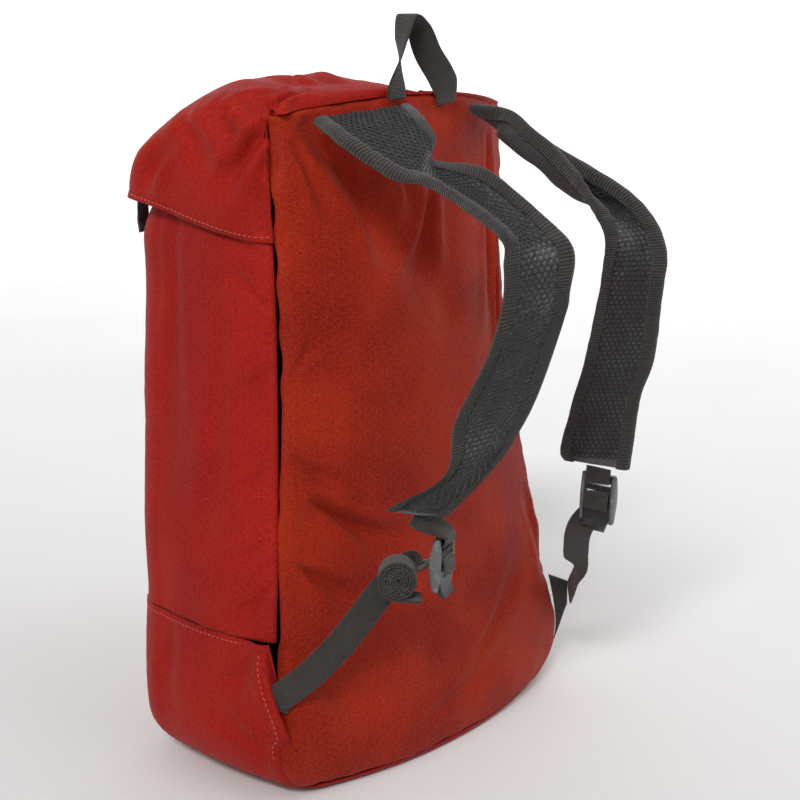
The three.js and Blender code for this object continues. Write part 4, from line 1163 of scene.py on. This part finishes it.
# Webbing
def spline(rows):
    """A smooth line through rows of [point, across]: points and width directions."""
    places = np.array([row[0] for row in rows], float)
    turns = np.array([row[1] for row in rows], float)
    knots = np.concatenate([[0], np.cumsum(np.linalg.norm(np.diff(places, axis=0), axis=1) ** 0.5)])
    points, across = [], []
    for i in range(len(rows) - 1):
        for t in np.arange(WEB_STEPS) / WEB_STEPS:
            points.append(catmull(places, knots, i, t))
            across.append(catmull(turns, np.arange(len(rows)), i, t))
    points.append(places[-1])
    across.append(turns[-1])
    points, across = np.array(points), np.array(across)
    along = unit(np.gradient(points, axis=0))
    across = unit(across - along * np.sum(across * along, 1, keepdims=True))
    return points, across, unit(np.cross(along, across))


def catmull(values, knots, i, t):
    p1, p2 = values[i], values[i + 1]
    step = knots[i + 1] - knots[i]
    p0 = values[i - 1] if i > 0 else 2 * p1 - p2
    p3 = values[i + 2] if i + 2 < len(values) else 2 * p2 - p1
    before = knots[i] - knots[i - 1] if i > 0 else step
    after = knots[i + 2] - knots[i + 1] if i + 2 < len(values) else step
    m1 = step * ((p1 - p0) / before - (p2 - p0) / (before + step) + (p2 - p1) / step)
    m2 = step * ((p2 - p1) / step - (p3 - p1) / (step + after) + (p3 - p2) / after)
    t2, t3 = t * t, t * t * t
    return (2 * t3 - 3 * t2 + 1) * p1 + (t3 - 2 * t2 + t) * m1 + (3 * t2 - 2 * t3) * p2 + (t3 - t2) * m2


def webbing(name, node, rows):
    points, across, out = spline(rows)
    run = run_of(points)[:, None]
    share = np.linspace(-0.5, 0.5, WEB_COLUMNS)[None, :]
    rounded = WEB_THICK / 2 * np.sqrt(np.maximum(1 - (np.abs(2 * share) ** 8), 0.12))
    ripple = 0.18 * soft_noise(run / 11, share * 2, 81)
    middle = points[:, None] + across[:, None] * (share * WEB_WIDTH)[..., None]
    sides = [middle + out[:, None] * (sign * rounded + ripple)[..., None] for sign in (1, -1)]
    flat = flat_of(share * WEB_WIDTH + 0 * run, run + 0 * share)
    slab_piece(name, [node], *sides, flat, WEBBING, "grosgrain")


def seam_place(x):
    k = x / (TOP_WIDTH - 2 * BACK_CORNER_RADIUS + 2 * BACK_CORNER_RADIUS * QUARTER) + 0.5
    return outline("back", k, top_seam(k))[0]


GRAB_LOOP = [
    # x, reach, height, twist
    [-1.24, 0.04, -0.04, 0],
    [-1.26, 0.08, 0.12, -0.1],
    [-1.2, 0.15, 0.4, -0.65],
    [-1.15, 0.2, 0.72, -1.2],
    [-0.92, 0.2, 0.98, -1.5],
    [-0.52, 0.2, 0.86, -1.75],
    [-0.12, 0.25, 0.52, -2.2],
    [0.36, 0.32, 0.25, -2.6],
    [0.82, 0.14, 0.04, -3.0],
    [0.9, 0.04, -0.12, -3.14],
]


def grab_loop():
    foot = seam_place((GRAB_SPAN - WEB_WIDTH) / 2)
    stand_off = WEB_THICK / 2 + SEAM_GAP + 1
    rows = []
    for x, reach, z, twist in GRAB_LOOP:
        place = V(x * GRAB_SPAN / 2, foot[1] - stand_off - reach * WEB_WIDTH, foot[2] + z * GRAB_HEIGHT)
        rows.append([place, V(math.cos(twist), -math.sin(twist), 0)])
    webbing("grab_loop_webbing", "grab_loop", rows)


# Buckles
LOCKS = {
    "left": [strap_place(-0.645, 0.63, 0.374), V(-0.95, -0.3, 0)],
    "right": [strap_place(0.615, 0.722, 0.397), V(-0.12, 0.99, -0.02)],
}
LOCK_DOWN = V(0, 0.06, -1)
RAIL_HALF_LENGTH = 18.6
RAIL_SECTION = [
    # from the buckle's middle, share of the full size
    [10.9, 0.7],
    [11.3, 0.93],
    [12.4, 1],
    [13.4, 0.93],
    [13.8, 0.7],
]
RIB_SECTION = [
    # from the bar's middle, share of the full thickness
    [-2.3, 0.4],
    [-1.8, 1],
    [1.8, 1],
    [2.3, 0.4],
]


def lock_axes(lock):
    down = unit(LOCK_DOWN)
    side = unit(lock[1] - down * (lock[1] @ down))
    return side, down, np.cross(side, down)


def lock_place(lock, down, out):
    """A place in the buckle's middle plane, as shares of its height and thickness."""
    _, axis_down, axis_out = lock_axes(lock)
    return lock[0] + axis_down * down * LOCK_HEIGHT + axis_out * out * LOCK_THICK


TOP_SLOT = (LOCK_BAR + LOCK_SLOT / 2) / LOCK_HEIGHT - 0.5
LOW_SLOT = (LOCK_BAR * 2 + LOCK_SLOT * 1.5) / LOCK_HEIGHT - 0.5


def through_lock(lock):
    places = [
        # down, out
        [LOW_SLOT + 0.18, -2.3],
        [LOW_SLOT + 0.06, -1.45],
        [LOW_SLOT, -0.75],
        [LOW_SLOT - 0.02, 0],
        [LOW_SLOT, 0.75],
        [LOW_SLOT + 0.14, 1.2],
        [LOW_SLOT + 0.3, 1.2],
    ]
    return [[lock_place(lock, down, out), lock[1]] for down, out in places]


def strap_links(straps):
    for side, strap in straps.items():
        lock = LOCKS[side]
        left, right = strap.left[-1], strap.right[-1]
        down = unit(left + right - strap.left[-4] - strap.right[-4])
        start = (left + right) / 2 + down * 0.6
        first = [start, unit(mix(left - right, V(-20, 14, 0), 0.75))]
        if side == "right":
            first = [lock_place(lock, -0.64, 0.75), lock[1]]
        places = [[-0.53, 0.8], [-0.46, 1.05], [TOP_SLOT, 0.7], [TOP_SLOT, 0], [TOP_SLOT, -0.7]]
        places.append([TOP_SLOT - 0.12, -1.05])
        rows = [first] + [[lock_place(lock, d, o), lock[1]] for d, o in places]
        webbing(f"{side}_strap_link_webbing", f"{side}_strap_link", rows)


def corner_at(side, height, out):
    point, normal = outline(side, 0.0, height)
    return point + normal * out


WEB_EXIT_HEIGHT = 78
LEFT_WEB_ACROSS = V(-0.35, 0.65, 0.68)
TAB_SPREAD = 56
TAB_REACH = 12
TAB_RISE = 12
TAB_MIDDLE = 56


def left_lower_webbing():
    behind_edge = corner_at("left", (WEB_EXIT_HEIGHT - 6) / BAG_HEIGHT, 1.4) - VIEW_RIGHT * 3
    rows = [
        [behind_edge, V(-0.35, 0.45, 0.8)],
        [corner_at("left", WEB_EXIT_HEIGHT / BAG_HEIGHT, 4.0), V(-0.35, 0.45, 0.8)],
        [strap_place(-1.15, 0.27, 0.204), LEFT_WEB_ACROSS],
        [strap_place(-1.0, 0.34, 0.248), LEFT_WEB_ACROSS],
        [strap_place(-0.79, 0.445, 0.332), LEFT_WEB_ACROSS],
        [strap_place(-0.65, 0.48, 0.358), V(-0.7, 0.4, 0.5)],
        [strap_place(-0.595, 0.515, 0.36), V(-0.95, -0.3, 0.1)],
        *through_lock(LOCKS["left"]),
    ]
    webbing("left_lower_strap_webbing", "left_lower_webbing", rows)


def tab_tip():
    return corner_at("right", TAB_MIDDLE / BAG_HEIGHT, 1) + VIEW_RIGHT * TAB_REACH + V(0, 0, TAB_RISE)


def right_corner_tab():
    shares = np.linspace(-0.5, 0.5, 21)
    foot = np.array([corner_at("right", (TAB_MIDDLE + s * TAB_SPREAD) / BAG_HEIGHT, 2.4) for s in shares])
    far = tab_tip() + np.stack([0 * shares, 0 * shares, shares * WEB_WIDTH], -1)
    grid = np.array([mix(foot, far, k) for k in np.linspace(0, 1, 12)])
    normals = grid_normals(grid)
    bend = 0.8 * folds_noise(grid[..., 2] / 14, grid[..., 0] / 9, 91)[..., None]
    sides = [grid + normals * (bend + sign * WEB_THICK / 2) for sign in (1, -1)]
    flat = flat_of(grid[..., 1], grid[..., 2])
    # Painted shade: the tab is red shell cloth in shade, coloured here with the black cloth
    slab_piece("right_corner_tab_cloth", ["right_corner_tab"], *sides, flat, BLACK, "tab_fabric")


def right_lower_webbing():
    rows = [
        [tab_tip() + VIEW_RIGHT * 1.8, V(-0.1, 0, 1)],
        [strap_place(0.98, 0.45, 0.225), V(-0.5, -0.3, 0.8)],
        [strap_place(0.8, 0.53, 0.28), V(-0.6, 0.7, 0.4)],
        [strap_place(0.66, 0.62, 0.34), V(-0.12, 0.99, 0)],
        *through_lock(LOCKS["right"]),
    ]
    webbing("right_lower_strap_webbing", "right_lower_webbing", rows)


ROLL_AXIS = V(0.77, 0.64, 0)
ROLL_CORE = 1.0
ROLL_STEPS = 40


def webbing_roll():
    middle = strap_place(-0.835, 0.525, 0.354)
    pitch = WEB_THICK + 0.34
    thick = WEB_THICK * 0.9
    count = round((ROLL_DIAMETER / 2 - ROLL_CORE) / pitch * ROLL_STEPS)
    width = np.linspace(-0.5, 0.5, 9)[None, :] * WEB_WIDTH
    run, places = [], []
    for i in range(count + 1):
        angle = -math.pi / 2 - (count - i) / ROLL_STEPS * 2 * math.pi
        radius = (ROLL_CORE + pitch * i / ROLL_STEPS) * (1 + 0.012 * math.sin(angle * 2.3))
        run.append(radius * angle)
        outward = VIEW_RIGHT * math.cos(angle) + V(0, 0, math.sin(angle))
        places.append([middle + outward * (radius + sign * thick) for sign in (0.5, -0.5)])
    for u in np.linspace(2, 16, 10):
        run.append(run[-1] + 1.6)
        foot = middle + VIEW_RIGHT * u - V(0, 0, ROLL_DIAMETER / 2 + u * 0.08)
        places.append([foot - V(0, 0, sign * thick) for sign in (0.5, -0.5)])
    sides = [np.array(side)[:, None] + ROLL_AXIS * width[..., None] for side in zip(*places)]
    run = np.array(run)[:, None]
    flat = flat_of(width + 0 * run, run + 0 * width)
    slab_piece("webbing_roll_cloth", ["webbing_roll"], *sides, flat, WEBBING, "grosgrain")


def lid_straps():
    for side in ("left", "right"):
        height = np.linspace(0.86, 0.81, 24)[None, :]
        at = np.linspace(0.88, 0.96, 9)[:, None]
        proud = 3.2 - 0.8 * smooth(height, 0.846, 0.86)
        point, normal = outline(side, at + 0 * height, height + 0 * at, proud)
        bump = 0.4 * folds_noise(height * 40, at * 8, 95)[..., None]
        sides = [point + normal * (WEB_THICK + bump), point + normal * bump]
        flat = flat_of(at * 200 + 0 * height, height * BAG_HEIGHT + 0 * at)
        slab_piece(f"{side}_lid_strap_webbing", [f"{side}_lid_strap"], *sides, flat, BLACK, "tab_fabric")


def lock_rails(side):
    """Curved side rails and the ribs of the bar, in millimetres along the buckle's own directions."""
    lock = LOCKS[side]
    axis_side, axis_down, axis_out = lock_axes(lock)

    def at(across, down, out):
        return lock[0] + axis_side * across + axis_down * down + axis_out * out

    points, faces = [], []
    turns = np.linspace(-1, 1, 21)
    front = [(t, 1.9 + 1.5 * (1 - t * t)) for t in turns]
    back = [(t, -1.7 - 3.9 * (1 - t * t)) for t in turns[::-1]]
    for hand in (-1, 1):
        rings = []
        for across, shrink in RAIL_SECTION:
            half = RAIL_HALF_LENGTH * shrink**0.15
            ring = [at(hand * across, half * t, out * shrink) for t, out in front + back]
            rings.append(ring if hand > 0 else ring[::-1])
        rod(points, faces, rings)
    # The rails' lighter grey plastic is painted sheen
    rails = make_mesh(f"{side}_lock_rails", points, faces, RAIL_PLASTIC_PAINTED_SHEEN)
    rails.data.validate()
    points, faces = [], []
    bar = LOCK_BAR * 1.5 + LOCK_SLOT - LOCK_HEIGHT / 2
    angles = np.arange(8) / 8 * 2 * math.pi
    for across in np.arange(-9, 9.1, 1.8):
        rings = []
        for down, fat in RIB_SECTION:
            ring = [(0.55 * fat * math.cos(a), 0.55 * fat * math.sin(a)) for a in angles]
            rings.append([at(across + aside, bar + down, 2 + out) for aside, out in ring])
        rod(points, faces, rings)
    make_mesh(f"{side}_lock_ribs", points, faces, PLASTIC)


def ladder_locks():
    for side in LOCKS:
        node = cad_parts[f"{side}_ladder_lock"]
        mesh = node.data.copy()
        made = bmesh.new()
        made.from_mesh(mesh)
        bmesh.ops.remove_doubles(made, verts=made.verts, dist=1e-6)
        bmesh.ops.dissolve_limit(made, angle_limit=math.radians(3), verts=made.verts, edges=made.edges)
        made.to_mesh(mesh)
        made.free()
        mesh.materials.clear()
        mesh.materials.append(PLASTIC)
        piece = bpy.data.objects.new(f"{side}_ladder_lock_moulding", mesh)
        bpy.context.scene.collection.objects.link(piece)
        edge = piece.modifiers.new("edge", "BEVEL")
        edge.width = 0.35 * MM
        edge.segments = 2
        edge.limit_method = "ANGLE"
        apply_modifiers(piece)
        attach(piece, "root")
        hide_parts(node.name)
        lock_rails(side)


def photo_camera():
    scene = bpy.context.scene
    data = bpy.data.cameras.new("photo_camera")
    data.lens = CAMERA_LENS
    data.sensor_width = 36
    camera = bpy.data.objects.new("photo_camera", data)
    camera.location = CAMERA_PLACE
    camera.rotation_euler = (math.radians(90 - CAMERA_PITCH), 0, math.radians(CAMERA_YAW))
    scene.collection.objects.link(camera)
    scene.camera = camera


LIGHTS = [
    # name, kind, place, size, power
    ["key", "SUN", (-1.5, -0.8, 1.35), 0.35, 3.3],
    ["window", "AREA", (-1.6, -0.4, 1.2), 0.8, 4],
    ["top", "AREA", (0.3, -0.9, 1.5), 0.9, 4],
]
WORLD_LIGHT = 0.36


def studio_light():
    world = bpy.data.worlds.new("studio_world")
    bpy.context.scene.world = world
    world.use_nodes = True
    world.node_tree.nodes["Background"].inputs[0].default_value = (1, 1, 1, 1)
    world.node_tree.nodes["Background"].inputs[1].default_value = WORLD_LIGHT
    for name, kind, place, size, power in LIGHTS:
        data = bpy.data.lights.new(name, kind)
        if kind == "SUN":
            data.angle = size
        else:
            data.size = size
        data.energy = power
        light = bpy.data.objects.new(name, data)
        light.location = place
        aim = Vector((0, 0, 0.22)) - Vector(place)
        light.rotation_euler = aim.to_track_quat("-Z", "Y").to_euler()
        bpy.context.scene.collection.objects.link(light)


FLOOR_SWEEP = [
    # radius and rise, in metres
    [2.5, 0.0],
    [4.0, 0.05],
    [5.0, 0.3],
    [5.8, 0.9],
    [6.2, 1.8],
    [6.4, 3.2],
    [6.45, 4.6],
]
FLOOR_SIDES = 72


def studio_floor():
    paper = Shader("studio_paper", 0.9, (0.9, 0.9, 0.9), Specular_IOR_Level=0.1)
    paper.colour(paper.blend(paper.noise(300, 1.0), (0.88, 0.88, 0.88), (0.93, 0.93, 0.93)))
    turns = np.arange(FLOOR_SIDES) / FLOOR_SIDES * 2 * math.pi
    points = [(0, 0, 0)]
    for radius, rise in FLOOR_SWEEP:
        points += [(radius * math.cos(a), radius * math.sin(a), rise) for a in turns]
    faces = [(0, 1 + k, 1 + (k + 1) % FLOOR_SIDES) for k in range(FLOOR_SIDES)]
    for i in range(len(FLOOR_SWEEP) - 1):
        low, high = 1 + i * FLOOR_SIDES, 1 + (i + 1) * FLOOR_SIDES
        for k in range(FLOOR_SIDES):
            n = (k + 1) % FLOOR_SIDES
            faces.append((low + k, high + k, high + n, low + n))
    mesh = bpy.data.meshes.new("studio_floor")
    mesh.from_pydata(points, [], faces)
    mesh.polygons.foreach_set("use_smooth", [True] * len(faces))
    mesh.materials.append(paper.material)
    floor = bpy.data.objects.new("studio_floor", mesh)
    floor.location = (0, 0, -0.0005)
    bpy.context.scene.collection.objects.link(floor)


photo_camera()
studio_light()
studio_floor()
bpy.context.scene.view_settings.view_transform = "Standard"
back_panel()
side_and_front_wrap()
boot()
lid_flap()
hem_stitches()
STRAPS = {"left": Strap(LEFT_STRAP), "right": Strap(RIGHT_STRAP)}
for strap_side, strap_surface in STRAPS.items():
    strap_pad(strap_side, strap_surface)
    strap_net(strap_side, strap_surface)
    strap_tape(f"{strap_side}_strap_left_tape", f"{strap_side}_strap_outer_binding", strap_surface, True)
    strap_tape(f"{strap_side}_strap_right_tape", f"{strap_side}_strap_inner_binding", strap_surface, False)
grab_loop()
strap_links(STRAPS)
left_lower_webbing()
right_corner_tab()
right_lower_webbing()
webbing_roll()
lid_straps()
ladder_locks()
